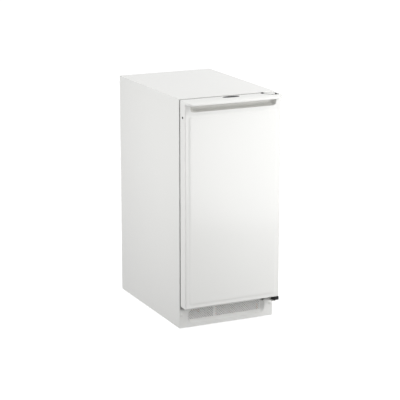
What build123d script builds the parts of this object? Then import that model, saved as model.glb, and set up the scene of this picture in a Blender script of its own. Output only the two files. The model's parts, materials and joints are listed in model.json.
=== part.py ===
"""Undercounter ice maker: insulated cabinet, hinged door, ice-making head, storage bin and cooling circuit.

Frame: millimetres, +Z up, the door faces -Y, +X is to the right of a person who faces the door.
The origin is on the floor, under the middle of the whole machine.
"""

import math
import os

from build123d import *

# ---------------------------------------------------------------- driving dimensions
cabinet_width = 380.0
total_height = 850.0
cabinet_depth = 540.0  # front flange to rear panel
foot_show = 4.0  # base above the floor with the feet screwed in
steel = 1.0  # sheet gauge of the casing
bend = 3.0  # outside radius of the casing's folds
base_gauge = 1.5  # base tray
front_flange = 28.0  # casing's folded front border
flange_low = 75.0  # lower end of that border
liner_wall = 2.0
side_insulation = 40.0
top_insulation = 45.0
rear_insulation = 45.0
floor_insulation = 40.0
machine_height = 98.0  # underside of the cold space over the condenser
compressor_space_height = 236.0
compressor_space_depth = 222.0

door_gap = 9.0  # door back to cabinet front
door_thickness = 42.0
door_side_play = 1.0
door_bottom = 90.0
door_top_drop = 2.0  # door top below cabinet top
skin_gauge = 1.0
door_rear_corner = 8.0  # radius of the door's lower rear edge
panel_raise = 1.2  # raised centre panel of the door
panel_border = 12.0
panel_corner = 12.0
cap_height = 12.0  # handle moulding over the door's top
lip_reach = 24.0
lip_drop = 13.0
lip_root = 9.0  # underside at the door's front, below its top
lip_corner = 22.0
pocket_side = 20.0  # door edge to finger pocket
pocket_drop = 40.0
pocket_depth = 20.0
pocket_corner = 12.0
pocket_slope = 12.0  # how far its ends lean in
pocket_wall = 2.0
badge_length = 66.0
badge_width = 24.0
badge_thickness = 1.4
badge_sunk = 0.8
plug_drop = 60.0  # door top to the side plug
plug_radius = 4.2
gasket_width = 17.0
gasket_clearance = 0.3

hinge_inset = 15.0  # pin axis from the door's side
hinge_setback = 11.0  # pin axis from the door's front
pin_radius = 3.0
running_play = 0.05
hinge_gauge = 3.0
hinge_nose = 7.0
hinge_shoulder = 13.0  # plate's nose runs this far past the pin
top_hinge_width = 57.0
top_hinge_side = 13.0  # depth of the plate's left edge
top_hinge_leg = 58.0
hinge_leg_width = 11.0
wire_hole_radius = 4.0
wire_hole_inset = 7.0
notch_play = 3.5
washer_radius = 9.2  # black flange under the top hinge's nose
bottom_hinge_width = 36.0
bottom_hinge_gauge = 5.0
bottom_hinge_leg = 8.0  # above the door's lower edge
tongue_left = 32.0  # bottom plate's root, from the cabinet's side
bushing_radius = 6.0
bushing_depth = 16.0
block_width = 22.0
block_height = 12.0
block_corner = 8.0
part_play = 0.5  # plain clearance between unlike parts

grille_top = 74.0
grille_gauge = 3.0
grille_notch_inset = 41.4  # middle of the cut-out, from the cabinet's side
grille_notch_width = 10.0
grille_notch_depth = 7.0
ear_width = 26.0  # base pan's uprights behind the grille
recess_side = 34.0
recess_low = 19.5
recess_depth = 10.0
recess_slope = 10.0
recess_margin = 2.0
rail_depth = 20.0
liner_lip = 15.0  # liner's front border below the cold space
cold_corner = 5.0
recess_corner = 20.0
perforation_pitch = 9.0
perforation_radius = 2.0
air_split = 144.5  # plain strip between the two air paths, from the left side
air_split_width = 7.0
toe_screw_inset = 10.5
toe_screw_height = 52.5
screw_radius = 2.2
screw_head_radius = 5.0
screw_head = 2.2

foot_radius = 15.0
foot_pad = 3.5
foot_stud_radius = 4.9
foot_stud_length = 34.0
foot_inset = 26.0
foot_setback = 42.0
foot_boss = 9.0

rear_reach = 12.0  # water inlet behind the rear panel
water_line_radius = 3.2

bin_wall = 2.5
bin_side_play = 15.0
bin_front_play = 48.0
bin_length = 405.0
scoop_play = 16.5  # bin's rim to the scoop over it
bin_corner = 12.0
bin_taper = 1.5
shelf_wire = 2.5
shelf_pitch = 24.0

mould_length = 190.0
mould_radius = 30.0
mould_wall = 4.0
mould_rim = 8.0
mould_count = 7
divider = 3.0
mould_inset = 47.0  # mould axis from the cold space's left wall
mould_drop = 62.0  # mould axis below the cold space's ceiling
mould_rear_space = 50.0  # mould to the cold space's rear wall
fill_cup_length = 24.0
head_length = 50.0
head_wall = 2.0
head_left = 44.0  # sides of the drive housing from the mould's axis
head_right = 46.0
head_below = 46.0
head_above = 56.0
cup_width = 48.0
cup_drop = 8.0
cup_height = 52.0
lug_width = 14.0
lug_foot = 34.0  # top of the wall lugs above the mould's axis
skirt_depth = 26.0
cover_gauge = 3.0
finger_radius = 26.0
shaft_radius = 4.0
gear_module = 1.5
ejector_teeth = 32
pinion_teeth = 12
gear_backlash = 0.30
gear_width = 6.0

arm_radius = 1.6  # shutoff arm's wire
arm_drop = 26.0  # its axis below the mould's
arm_reach = 52.0  # its feeler below its axis
arm_setback = 34.0
shelf_ledge = 6.0
scoop_setback = 90.0
scoop_peg_drop = 62.0  # peg below the cold space's ceiling
scoop_width = 68.0
scoop_depth = 46.0
scoop_length = 102.0
scoop_grip = 82.0  # peg to the top of the scoop's blade
scoop_wall = 2.0
scoop_hole = 5.5
peg_radius = 4.0
peg_reach = 16.0
control_width = 115.0
control_depth = 62.0
control_height = 36.0
control_setback = 44.0
control_side = 12.0
control_wall = 2.0
knob_radius = 13.5
knob_inset = 34.0
stem_radius = 3.8
rocker_inset = 26.0
rocker_half = 6.5
rocker_height = 20.0
rocker_tilt = 7.0
rocker_pivot = 1.5
evaporator_half = 108.0
evaporator_feet = 9.0  # plate's middle to the rear wall
evaporator_turns = 6

compressor_inset = 142.0  # axis from the right side
compressor_setback = 112.0  # axis from the back
compressor_radius = 70.0
compressor_height = 156.0
compressor_low = 20.0
compressor_wall = 3.0
compressor_seam = 4.0
pump_radius = 50.0
mount_reach = 74.0
mount_aspect = 0.86
mount_radius = 11.0
mount_bolt_radius = 3.0
condenser_inset = 56.0  # right end plate from the right side
condenser_clear = 23.5  # left end plate from the sheet between the air paths
condenser_depth = 52.0
condenser_height = 72.0
condenser_setback = 30.0
condenser_tube = 4.76  # radius
condenser_rows = 4
condenser_pitch = 16.0
condenser_row_gap = 24.0
condenser_bend = 14.0  # tube bends beyond the end plates
condenser_stub = 34.0  # tube ends beyond the end plate
fin_pitch = 5.6
fin_gauge = 0.5
fin_end_gauge = 1.5
fan_radius = 36.0
fan_hub = 12.0
fan_depth = 9.0  # half the wheel's depth
fan_blades = 5
fan_setback = 26.0  # fan behind the condenser
motor_shaft = 2.5
motor_size = 44.0
copper_radius = 3.0
suction_radius = 4.0
suction_inset = 120.0  # from the left side
discharge_inset = 66.0
drier_inset = 98.0
drier_radius = 10.0
drier_length = 110.0
gland_inset = 70.0
gland_height = 34.0
gland_radius = 9.0
gland_hole = 4.2
valve_inset = 50.0
valve_height = 66.0
inlet_radius = 5.55
line_inset = 80.0
line_low_z = 96.0
line_standoff = 6.5

out_folder = "parts"

# ---------------------------------------------------------------- places worked out from them
half_width = cabinet_width / 2
total_depth = lip_reach + door_thickness + door_gap + cabinet_depth + rear_reach
cabinet_front = -total_depth / 2 + lip_reach + door_thickness + door_gap
cabinet_rear = cabinet_front + cabinet_depth
door_rear = cabinet_front - door_gap
door_front = door_rear - door_thickness
door_top = total_height - door_top_drop
door_half = half_width - door_side_play
cap_bottom = door_top - cap_height
base_low = foot_show
base_top = base_low + base_gauge

cold_half = half_width - steel - side_insulation - liner_wall
cold_top = total_height - steel - top_insulation - liner_wall
cold_rear = cabinet_rear - steel - rear_insulation - liner_wall
cold_floor = machine_height + steel + floor_insulation + liner_wall
hump_top = compressor_space_height + steel + floor_insulation + liner_wall
compressor_front = cabinet_rear - compressor_space_depth
hump_front = compressor_front - steel - floor_insulation - liner_wall

pin_x = door_half - hinge_inset
pin_y = door_front + hinge_setback
bottom_plate_top = door_bottom - part_play - block_height
bottom_plate_low = bottom_plate_top - bottom_hinge_gauge
top_plate_top = door_top - 1.0
top_plate_low = top_plate_top - hinge_gauge
notch_floor = top_plate_low - 3.0

mould_x = -cold_half + mould_inset
mould_z = cold_top - mould_drop
mould_back = cold_rear - mould_rear_space
mould_front = mould_back - mould_length
head_front = mould_front - head_length
gear_gap = gear_module * (ejector_teeth + pinion_teeth) / 2
gear_y = head_front + 20.0
motor_z = mould_z + gear_gap
arm_z = mould_z - arm_drop
arm_y = head_front + arm_setback
fill_lip_x = (mould_x - 8.0, mould_x + 8.0)
fill_lip_z = (mould_z + shaft_radius + 1.5, mould_z + 20.0)
fill_y = mould_back + fill_cup_length / 2
fill_z = mould_z + 26.0

pocket_half = door_half - pocket_side
pocket_low = door_top - pocket_drop
plug_y = (door_front + door_rear) / 2
plug_z = door_top - plug_drop
badge_y = (door_front + door_rear) / 2 + 1.0
gasket_half = pin_x - 2.0  # inside the pin, so the swing only lifts it off
gasket_low = door_bottom + bottom_hinge_leg + 3.5
gasket_top = cap_bottom - 2.0

bin_half = cold_half - bin_side_play
bin_front = cabinet_front + bin_front_play
shelf_z = hump_top - 3.0 + shelf_wire
bin_low = shelf_z + shelf_wire + part_play
scoop_y = cabinet_front + scoop_setback
scoop_peg_z = cold_top - scoop_peg_drop
scoop_high = scoop_peg_z - scoop_grip
scoop_low = scoop_high - scoop_length
bin_top = scoop_low - scoop_play
control_right = cold_half - control_side
control_left = control_right - control_width
control_front = cabinet_front + control_setback
control_low = cold_top - control_height
control_z = cold_top - control_height / 2
knob_x = control_left + knob_inset
rocker_x = control_right - rocker_inset
rocker_pivot_y = control_front + 3.0
evaporator_y = cold_rear - evaporator_feet
evaporator_low = hump_top + 46.0
evaporator_high = mould_z - mould_radius - 60.0

compressor_x = half_width - compressor_inset
compressor_y = cabinet_rear - compressor_setback
compressor_high = compressor_low + compressor_height
compressor_seam_z = (compressor_low + compressor_high) / 2
wall_x = -half_width + air_split  # sheet between the two air paths
condenser_right = half_width - condenser_inset
condenser_left = wall_x + condenser_clear
condenser_front = cabinet_front + condenser_setback
condenser_low_z = base_top + 18.5
fan_x = (condenser_left + condenser_right) / 2
fan_y = condenser_front + condenser_depth + fan_setback
fan_z = (base_top + machine_height) / 2
suction_x = -half_width + suction_inset
discharge_x = -half_width + discharge_inset
drier_x = -half_width + drier_inset
drier_z = condenser_low_z + condenser_pitch
gland_x = half_width - gland_inset
gland_z = gland_height
valve_x = -half_width + valve_inset
valve_z = valve_height
line_x = -half_width + line_inset
line_y = cabinet_rear + line_standoff


# ---------------------------------------------------------------- shape helpers
def block(x0, x1, y0, y1, z0, z1):
    """Box between two corners."""
    return Pos((x0 + x1) / 2, (y0 + y1) / 2, (z0 + z1) / 2) * Box(x1 - x0, y1 - y0, z1 - z0)


def rod_x(radius, x0, x1, y, z):
    """Cylinder along X."""
    return Pos((x0 + x1) / 2, y, z) * Rot(0, 90, 0) * Cylinder(radius, x1 - x0)


def rod_y(radius, x, y0, y1, z):
    """Cylinder along Y."""
    return Pos(x, (y0 + y1) / 2, z) * Rot(90, 0, 0) * Cylinder(radius, y1 - y0)


def rod_z(radius, x, y, z0, z1):
    """Cylinder along Z."""
    return Pos(x, y, (z0 + z1) / 2) * Cylinder(radius, z1 - z0)


def edges_along(shape, axis, *tests):
    """Edges parallel to an axis whose middle passes every test."""
    found = shape.edges().filter_by(axis)
    return [e for e in found if all(test(e.center()) for test in tests)]


def near(value, target):
    """True if two places are the same."""
    return abs(value - target) < 0.01


def tube(radius, points, radii):
    """Round tube through points, with a bend radius at each corner."""
    path = FilletPolyline(*points, radius=radii)
    start = Plane(origin=path @ 0, z_dir=path % 0)
    return sweep(start * Circle(radius), path=path)


def extrude_x(sketch, x0, x1):
    """Sketch in (y, z), extruded from x0 to x1."""
    return Pos(x0, 0, 0) * extrude(Plane.YZ * sketch, amount=x1 - x0)


def extrude_y(sketch, y0, y1):
    """Sketch in (x, z), extruded from y0 to y1."""
    return Pos(0, y1, 0) * extrude(Plane.XZ * sketch, amount=y1 - y0)


def rounded_area(x0, x1, z0, z1, radius):
    """Rounded rectangle between two corners."""
    return Pos((x0 + x1) / 2, (z0 + z1) / 2) * RectangleRounded(x1 - x0, z1 - z0, radius)


def screw_along_y(x, y, z, grip, facing=-1):
    """Pan-head screw along Y whose head's underside is at y; facing -1 puts the head in front."""
    head = rod_y(screw_head_radius, x, *sorted((y, y + facing * screw_head)), z)
    rim = head.faces().sort_by(Axis.Y)[0 if facing < 0 else -1].edges()
    head = fillet(rim, screw_head * 0.45)
    slot_y = y + facing * screw_head
    slots = block(x - 3, x + 3, slot_y - 0.7, slot_y + 0.7, z - 0.5, z + 0.5)
    slots += block(x - 0.5, x + 0.5, slot_y - 0.7, slot_y + 0.7, z - 3, z + 3)
    shank = rod_y(screw_radius, x, *sorted((y, y - facing * grip)), z)
    return head - slots + shank


# ---------------------------------------------------------------- casing
def casing_block(inset):
    """Casing's outside, or its inside where inset is the sheet's gauge."""
    half, front, top = half_width - inset, cabinet_front + inset, total_height - inset
    low, rear = base_low - inset, cabinet_rear + inset
    body = block(-half, half, front, rear, low, top)
    folds = edges_along(body, Axis.Y, lambda c: near(c.Z, top))
    folds += edges_along(body, Axis.Z, lambda c: near(c.Y, front))
    folds += edges_along(body, Axis.X, lambda c: near(c.Y, front), lambda c: near(c.Z, top))
    return fillet(folds, bend - inset)


def cabinet_wrapper():
    """Painted sheet folded over both sides and the top, with a front border."""
    half = half_width - front_flange
    y0, y1 = cabinet_front - 1, cabinet_front + 2 * bend
    opening = block(-half, half, y0, y1, base_low - 1, total_height - front_flange)
    side_half = half_width - steel
    foot_opening = block(-side_half, side_half, y0, y1, base_low - 1, flange_low)
    shell = casing_block(0.0) - casing_block(steel)
    return shell - opening - foot_opening - hinge_screw_holes()


def toe_screw_hole(side, radius):
    """Cutter for one grille screw."""
    x = side * (half_width - toe_screw_inset)
    return rod_y(radius, x, cabinet_front - 10, cabinet_front + 20, toe_screw_height)


def top_hinge_screw_places():
    """Screws of the top hinge, as (x, z)."""
    x = half_width - part_play - hinge_leg_width / 2
    return [(x, top_plate_low - top_hinge_leg * share) for share in (0.45, 0.85)]


def bottom_hinge_screw_places():
    """Screws of the bottom hinge, as (x, z)."""
    z = (bottom_plate_top + door_bottom + bottom_hinge_leg) / 2
    left = half_width - bottom_hinge_width
    return [(left + bottom_hinge_width * share, z) for share in (0.25, 0.75)]


def hinge_screw_y():
    """Underside of a hinge screw's sunk head."""
    return cabinet_front - hinge_gauge + screw_head


def hinge_screw_holes():
    """Cutters for every hinge screw, with the sunk heads."""
    cutters = Part()
    for x, z in top_hinge_screw_places() + bottom_hinge_screw_places():
        cutters += rod_y(screw_radius, x, cabinet_front - 10, cabinet_front + 14, z)
        cutters += rod_y(screw_head_radius, x, cabinet_front - 10, hinge_screw_y(), z)
    return cutters


def cold_profile(grow):
    """Side outline of the cold space, grown outwards."""
    front = cabinet_front + (steel if grow else -5.0)
    return make_face(
        Polyline(
            (front, cold_floor - grow),
            (hump_front + grow, cold_floor - grow),
            (hump_front + grow, hump_top - grow),
            (cold_rear + grow, hump_top - grow),
            (cold_rear + grow, cold_top + grow),
            (front, cold_top + grow),
            close=True,
        )
    )


def cold_volume(grow):
    """The cold space, or the body of its liner where grow is the wall."""
    half = cold_half + grow
    body = extrude_x(cold_profile(grow), -half, half)
    floor_z, top_z = cold_floor - grow, cold_top + grow
    long_edges = edges_along(
        body, Axis.Y, lambda c: near(c.Z, floor_z) or near(c.Z, top_z)
    )
    return fillet(long_edges, cold_corner + grow)


def shelf_ledges():
    """Moulded ledges on the cold space's walls that carry the shelf."""
    high = shelf_z - shelf_wire
    low = high - shelf_ledge
    ledges = []
    for side in (-1, 1):
        x0, x1 = sorted((side * (cold_half + 0.5), side * (cold_half - 7.0)))
        ledges.append(block(x0, x1, cabinet_front + 24, hump_front + 1, low, high))
    return ledges


def liner_border():
    """Flat front border of the liner, inside the casing's own border."""
    half = half_width - front_flange
    top = total_height - front_flange
    low = cold_floor - liner_lip
    y1 = cabinet_front + steel
    return block(-half, half, cabinet_front, y1, low, top)


def scoop_peg():
    """Peg on the right wall that the scoop hangs from."""
    x1 = cold_half + liner_wall / 2
    return rod_x(peg_radius, cold_half - peg_reach, x1, scoop_y, scoop_peg_z)


def cabinet_liner():
    """Vacuum-formed tub that lines the cold space."""
    tub = cold_volume(liner_wall) + liner_border() - cold_volume(0.0)
    tub += shelf_ledges()[0] + shelf_ledges()[1]
    tub += scoop_peg()
    tub -= fill_tube_cutter() + suction_cutter()
    return tub


def insulation_profile():
    """Side outline of the foam before the cold space is taken out."""
    front = cabinet_front
    rear = cabinet_rear - steel
    top = total_height + steel
    return make_face(
        Polyline(
            (front, machine_height + steel),
            (compressor_front - steel, machine_height + steel),
            (compressor_front - steel, compressor_space_height + steel),
            (rear, compressor_space_height + steel),
            (rear, top),
            (front, top),
            close=True,
        )
    )


def cabinet_foam():
    """Rigid foam poured between casing and liner."""
    foam = casing_block(steel) & extrude_x(insulation_profile(), -half_width, half_width)
    foam -= cold_volume(liner_wall)
    return foam - hinge_screw_holes() - fill_tube_cutter() - suction_cutter()


def machine_ceiling():
    """Galvanised sheet that closes the machine space under the foam."""
    half = half_width - steel - part_play / 2
    z0, z1 = machine_height, machine_height + steel
    front = block(-half, half, cabinet_front + rail_depth + part_play, compressor_front, z0, z1)
    wall = block(
        -half, half, compressor_front - steel, compressor_front, z0, compressor_space_height + steel
    )
    rear = block(
        -half,
        half,
        compressor_front - steel,
        cabinet_rear - steel - part_play,
        compressor_space_height,
        compressor_space_height + steel,
    )
    return front + wall + rear - suction_cutter()


def front_rail():
    """Folded steel rail under the door opening, which carries the bottom hinge."""
    half = half_width - front_flange - part_play / 2
    top = cold_floor - liner_lip - part_play / 2
    y1 = cabinet_front + steel
    face = block(-half, half, cabinet_front, y1, flange_low, top)
    wide = half_width - bend - part_play
    low_face = block(-wide, wide, y1, y1 + steel, flange_low, machine_height)
    shelf = block(-wide, wide, y1, cabinet_front + rail_depth, flange_low, flange_low + steel)
    return face + low_face + shelf - hinge_screw_holes()


def rear_panel():
    """Flat sheet behind the foam."""
    half = half_width - steel - part_play / 2
    panel = block(
        -half,
        half,
        cabinet_rear - steel,
        cabinet_rear,
        compressor_space_height + steel + part_play,
        total_height - steel - part_play / 2,
    )
    top = total_height - steel - part_play / 2
    panel = fillet(edges_along(panel, Axis.Y, lambda c: near(c.Z, top)), bend)
    return panel - fill_tube_cutter()


def cover_screw_places():
    """Screws of the rear cover, as (x, z)."""
    x = half_width - 12.0
    low, high = base_top + 18.0, compressor_space_height - 10.0
    return [(s * x, z) for s in (-1, 1) for z in (low, (low + high) / 2, high)]


def machine_cover():
    """Louvred cover behind the compressor."""
    half = half_width - steel - part_play / 2
    low, high = base_top + part_play, compressor_space_height + steel
    cover = block(-half, half, cabinet_rear - steel, cabinet_rear, low, high)
    slot_length, slot_height, pitch = 96.0, 5.0, 13.0
    rows = int((high - low - 90.0) // pitch)
    slots = [
        Pos(x, high - 34.0 - row * pitch) * SlotOverall(slot_length, slot_height)
        for row in range(rows)
        for x in (-58.0, 58.0)
    ]
    for slot in slots:
        cover -= extrude_y(slot, cabinet_rear - 3, cabinet_rear + 2)
    for x, z in cover_screw_places():
        cover -= rod_y(screw_radius, x, cabinet_rear - 3, cabinet_rear + 2, z)
    cover -= rod_y(gland_radius, gland_x, cabinet_rear - 3, cabinet_rear + 2, gland_z)
    for x, z, radius in (
        (valve_x, valve_z, inlet_radius + 1.0),
        (line_x, line_low_z, water_line_radius + 1.0),
    ):
        cover -= rod_y(radius, x, cabinet_rear - 3, cabinet_rear + 2, z)
    return cover


def foot_places():
    """The four feet, as (name, x, y)."""
    x = half_width - foot_inset
    front, rear = cabinet_front + foot_setback, cabinet_rear - foot_setback
    return [
        ("front_left", -x, front),
        ("front_right", x, front),
        ("rear_left", -x, rear),
        ("rear_right", x, rear),
    ]


def base_pan():
    """Folded tray that carries the machinery and the feet's nuts."""
    half = half_width - steel - part_play / 2
    front, rear = cabinet_front + steel + 13.0, cabinet_rear - steel - part_play
    wall_height = 12.0
    pan = block(-half, half, front, rear, base_low, base_low + wall_height)
    pan -= block(
        -half + base_gauge,
        half - base_gauge,
        front + base_gauge,
        rear - base_gauge,
        base_top,
        base_low + wall_height + 1,
    )
    for side in (-1, 1):
        x0, x1 = sorted((side * half, side * (half - ear_width)))
        y0 = cabinet_front + grille_gauge
        pan += block(x0, x1, y0, front + base_gauge, base_low, base_top)
        pan += block(x0, x1, y0, y0 + base_gauge, base_low, grille_top - 6.0)
        pan -= toe_screw_hole(side, screw_radius)
    for _, x, y in foot_places():
        pan += rod_z(foot_stud_radius + 4.0, x, y, base_low, base_top + foot_boss)
        pan -= rod_z(foot_stud_radius + 0.1, x, y, base_low - 1, base_top + foot_boss + 1)
    for x, y in mount_places():
        pan -= rod_z(mount_bolt_radius, x, y, base_low - 1, base_top + 1)
    return pan


def levelling_foot(x, y):
    """Screw-in foot: pad with flats for a spanner, and stud."""
    pad = rod_z(foot_radius, x, y, 0, foot_pad)
    pad = fillet(pad.faces().sort_by(Axis.Z)[0].edges(), 1.2)
    return pad + rod_z(foot_stud_radius, x, y, foot_pad, foot_pad + foot_stud_length)


def toe_grille():
    """Moulded kick plate with a sunk, perforated air panel."""
    front = cabinet_front
    half = half_width - steel - part_play / 2
    plate = block(-half, half, front, front + grille_gauge, base_low, grille_top)
    plate = fillet(edges_along(plate, Axis.Z, lambda c: near(c.Y, front)), 1.0)
    left, right = -half_width + recess_side, half_width - recess_side
    high = grille_top - recess_margin
    floor_left, floor_right = left + recess_slope / 4, right - recess_slope * 1.3
    floor_low, floor_high = recess_low + recess_slope, high - 1.0
    deep = front + recess_depth

    def dish(wall, ahead, back):
        """Sloped dish grown by wall, from its mouth at ahead to its floor at back."""
        mouth = rounded_area(
            left - wall, right + wall, recess_low - wall, high + wall / 2, recess_corner
        )
        floor = rounded_area(
            floor_left - wall, floor_right + wall, floor_low - wall, floor_high + wall / 2, 8.0
        )
        return loft([Plane.XZ.offset(-ahead) * mouth, Plane.XZ.offset(-back) * floor])

    grille = plate + dish(2.0, front + 0.5, deep + 2.0) - dish(0.0, front - 0.01, deep)
    for row in perforation(floor_left, floor_right, floor_low, floor_high):
        grille -= row
    for side in (-1, 1):
        grille -= toe_screw_hole(side, screw_radius)
    notch_x = half_width - grille_notch_inset
    return grille - block(
        notch_x - grille_notch_width / 2,
        notch_x + grille_notch_width / 2,
        front - 1,
        deep + 3,
        grille_top - grille_notch_depth,
        grille_top + 1,
    )


def perforation(left, right, low, high):
    """Cutters for the air holes: staggered rows in two fields, one solid per field row."""
    split = -half_width + air_split
    half_strip = air_split_width / 2
    y0, y1 = cabinet_front, cabinet_front + recess_depth + 6.0
    step, margin = perforation_pitch, perforation_radius + 1.0
    rows = int((high - low - 2 * margin) // (step / 2)) + 1
    columns = int((right - left) // step) + 1
    for row in range(rows):
        z = low + margin + row * step / 2
        shift = step / 2 if row % 2 else 0.0
        places = [left + margin + shift + step * n for n in range(columns)]
        places = [x for x in places if x < right - margin]
        places = [x for x in places if abs(x - split) > half_strip + perforation_radius]
        holes = Sketch() + [Pos(x, z) * Circle(perforation_radius) for x in places]
        yield extrude_y(holes, y0, y1)


def casing_screws():
    """Screws of the grille, the rear cover and both hinges, all alike."""
    screws = []
    for side in (-1, 1):
        x = side * (half_width - toe_screw_inset)
        screws.append(screw_along_y(x, cabinet_front, toe_screw_height, 12.0))
    for x, z in cover_screw_places():
        screws.append(screw_along_y(x, cabinet_rear, z, 8.0, facing=1))
    for x, z in top_hinge_screw_places() + bottom_hinge_screw_places():
        screws.append(screw_along_y(x, hinge_screw_y(), z, 12.0))
    return Compound(children=[s.solid() for s in screws])


# ---------------------------------------------------------------- hinges
def top_hinge_outline(slack):
    """Plan of the top plate: square at the cabinet, round over the pin."""
    left = half_width - top_hinge_width - slack
    right = pin_x + hinge_nose + slack
    front = pin_y - hinge_nose - slack
    outline = make_face(
        Polyline(
            (left, cabinet_front + slack),
            (right, cabinet_front + slack),
            (right, front),
            (pin_x - hinge_shoulder - slack, front),
            (left, cabinet_front - top_hinge_side - slack),
            close=True,
        )
    )
    nose = [v for v in outline.vertices() if near(v.X, right) and near(v.Y, front)]
    outline = fillet(nose, hinge_nose + slack - 0.01)
    rest = [v for v in outline.vertices() if v.X < pin_x - 1 and v.Y < cabinet_front - 1]
    return fillet(rest, 4.0)


def top_hinge():
    """Top hinge: plate over the door, leg down the cabinet's border, and pin."""
    plate = Pos(0, 0, top_plate_low) * extrude(top_hinge_outline(0.0), amount=hinge_gauge)
    left, right = half_width - top_hinge_width, pin_x + hinge_nose
    y0 = cabinet_front - hinge_gauge
    strip = block(left, right, y0, cabinet_front, top_plate_low - 8.0, top_plate_top)
    edge = half_width - part_play
    low = top_plate_low - top_hinge_leg
    leg = block(edge - hinge_leg_width, edge, y0, cabinet_front, low, top_plate_top)
    hole_y = cabinet_front - wire_hole_inset
    hole = rod_z(wire_hole_radius, left + wire_hole_inset, hole_y, low, total_height)
    pin = rod_z(pin_radius, pin_x, pin_y, cap_bottom + 1.0, top_plate_top + 1.0)
    return plate + strip + leg - hole - hinge_screw_holes() + pin


def tongue_outline():
    """Plan of the bottom plate: a tongue that narrows to the pin."""
    root = half_width - tongue_left
    right = pin_x + hinge_nose
    outline = make_face(
        Polyline(
            (root, cabinet_front),
            (right, cabinet_front),
            (right, pin_y - hinge_nose),
            (pin_x - hinge_nose, pin_y - hinge_nose),
            close=True,
        )
    )
    nose = [v for v in outline.vertices() if v.Y < pin_y]
    return fillet(nose, hinge_nose * 0.85)


def bottom_hinge():
    """Bottom hinge: plate under the door, leg up behind it, and pin."""
    plate = Pos(0, 0, bottom_plate_low) * extrude(tongue_outline(), amount=bottom_hinge_gauge)
    left, right = half_width - bottom_hinge_width, half_width - part_play
    y0 = cabinet_front - hinge_gauge
    top = door_bottom + bottom_hinge_leg
    leg = block(left, right, y0, cabinet_front, bottom_plate_low, top)
    pin = rod_z(pin_radius, pin_x, pin_y, bottom_plate_low, door_bottom + bushing_depth - 4.0)
    return plate + leg - hinge_screw_holes() + pin


def hinge_block():
    """Black bearing block between the bottom plate and the door."""
    right = pin_x + hinge_inset
    y0 = pin_y - hinge_setback
    low, high = bottom_plate_top, door_bottom - part_play
    body = block(right - block_width, right, y0, y0 + block_width, low, high)
    turned = edges_along(body, Axis.Z, lambda c: near(c.X, right - block_width), lambda c: near(c.Y, y0))
    body = fillet(turned, block_corner)
    return body - rod_z(pin_radius, pin_x, pin_y, 0, door_bottom)


# ---------------------------------------------------------------- door
def pocket_front(grow=0.0):
    """Front outline of the finger pocket, whose top runs on under the lip."""
    low, high = pocket_low - grow, door_top + 30.0
    half = pocket_half + grow
    return rounded_area(-half, half, low, high, pocket_corner + grow)


def door_inside():
    """Space inside the skin, open at the top and, above its lower rear corner, at the back."""
    half = door_half - skin_gauge
    face = door_front + panel_raise + skin_gauge
    rear = door_rear - skin_gauge
    main = block(-half, half, face, rear, door_bottom + skin_gauge, cap_bottom + 1)
    heel = edges_along(main, Axis.X, lambda c: near(c.Y, rear), lambda c: c.Z < cap_bottom)
    main = fillet(heel, door_rear_corner - skin_gauge)
    low = door_bottom + door_rear_corner
    return main + block(-half, half, rear - 1.0, door_rear + 1, low, cap_bottom + 1)


def door_skin():
    """Painted steel front, folded back along the sides and the bottom."""
    face = door_front + panel_raise
    outer = block(-door_half, door_half, face, door_rear, door_bottom, cap_bottom)
    corners = edges_along(outer, Axis.Z, lambda c: near(c.Y, face))
    corners += edges_along(outer, Axis.X, lambda c: near(c.Y, face), lambda c: near(c.Z, door_bottom))
    outer = fillet(corners, bend)
    heel = edges_along(outer, Axis.X, lambda c: near(c.Y, door_rear), lambda c: c.Z < cap_bottom - 1)
    outer = fillet(heel, door_rear_corner)
    raised = extrude_y(
        rounded_area(
            -door_half + panel_border,
            door_half - panel_border,
            door_bottom + panel_border,
            pocket_low - panel_border,
            panel_corner,
        ),
        door_front,
        face,
    )
    raised = fillet(raised.faces().sort_by(Axis.Y)[0].edges(), panel_raise * 0.8)
    skin = outer + raised - door_inside()
    skin -= extrude_y(pocket_front(), door_front - 1, face + skin_gauge + 1)
    skin -= rod_z(bushing_radius, pin_x, pin_y, door_bottom - 1, door_bottom + 5)
    skin -= rod_x(2.0, -door_half - 1, -door_half + 5, plug_y, plug_z)
    return skin


def side_plug():
    """Dark plug that closes the spare screw hole in the door's edge."""
    head = rod_x(plug_radius, -door_half - 0.9, -door_half, plug_y, plug_z)
    head = fillet(head.faces().sort_by(Axis.X)[0].edges(), 0.5)
    return head + rod_x(2.0, -door_half, -door_half + 6.0, plug_y, plug_z)


def handle_profile():
    """Side outline of the handle moulding's top and lip."""
    lip_front = door_front - lip_reach
    outline = Polyline(
        (door_rear, cap_bottom),
        (door_rear, door_top),
        (door_front + 6.0, door_top),
        (lip_front + 1.5, door_top - 5.0),
        (lip_front, door_top - 8.0),
        (lip_front, door_top - lip_drop),
        (lip_front + 4.0, door_top - lip_drop),
        (door_front, door_top - lip_root),
        (door_front, cap_bottom),
        close=True,
    )
    face = make_face(outline)
    crown = [v for v in face.vertices() if near(v.X, door_front + 6.0)]
    face = fillet(crown, 30.0)
    nose = [v for v in face.vertices() if near(v.X, lip_front + 1.5)]
    face = fillet(nose, 2.5)
    tip = [v for v in face.vertices() if near(v.Y, door_top - lip_drop)]
    return fillet(tip, 1.6)


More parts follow.
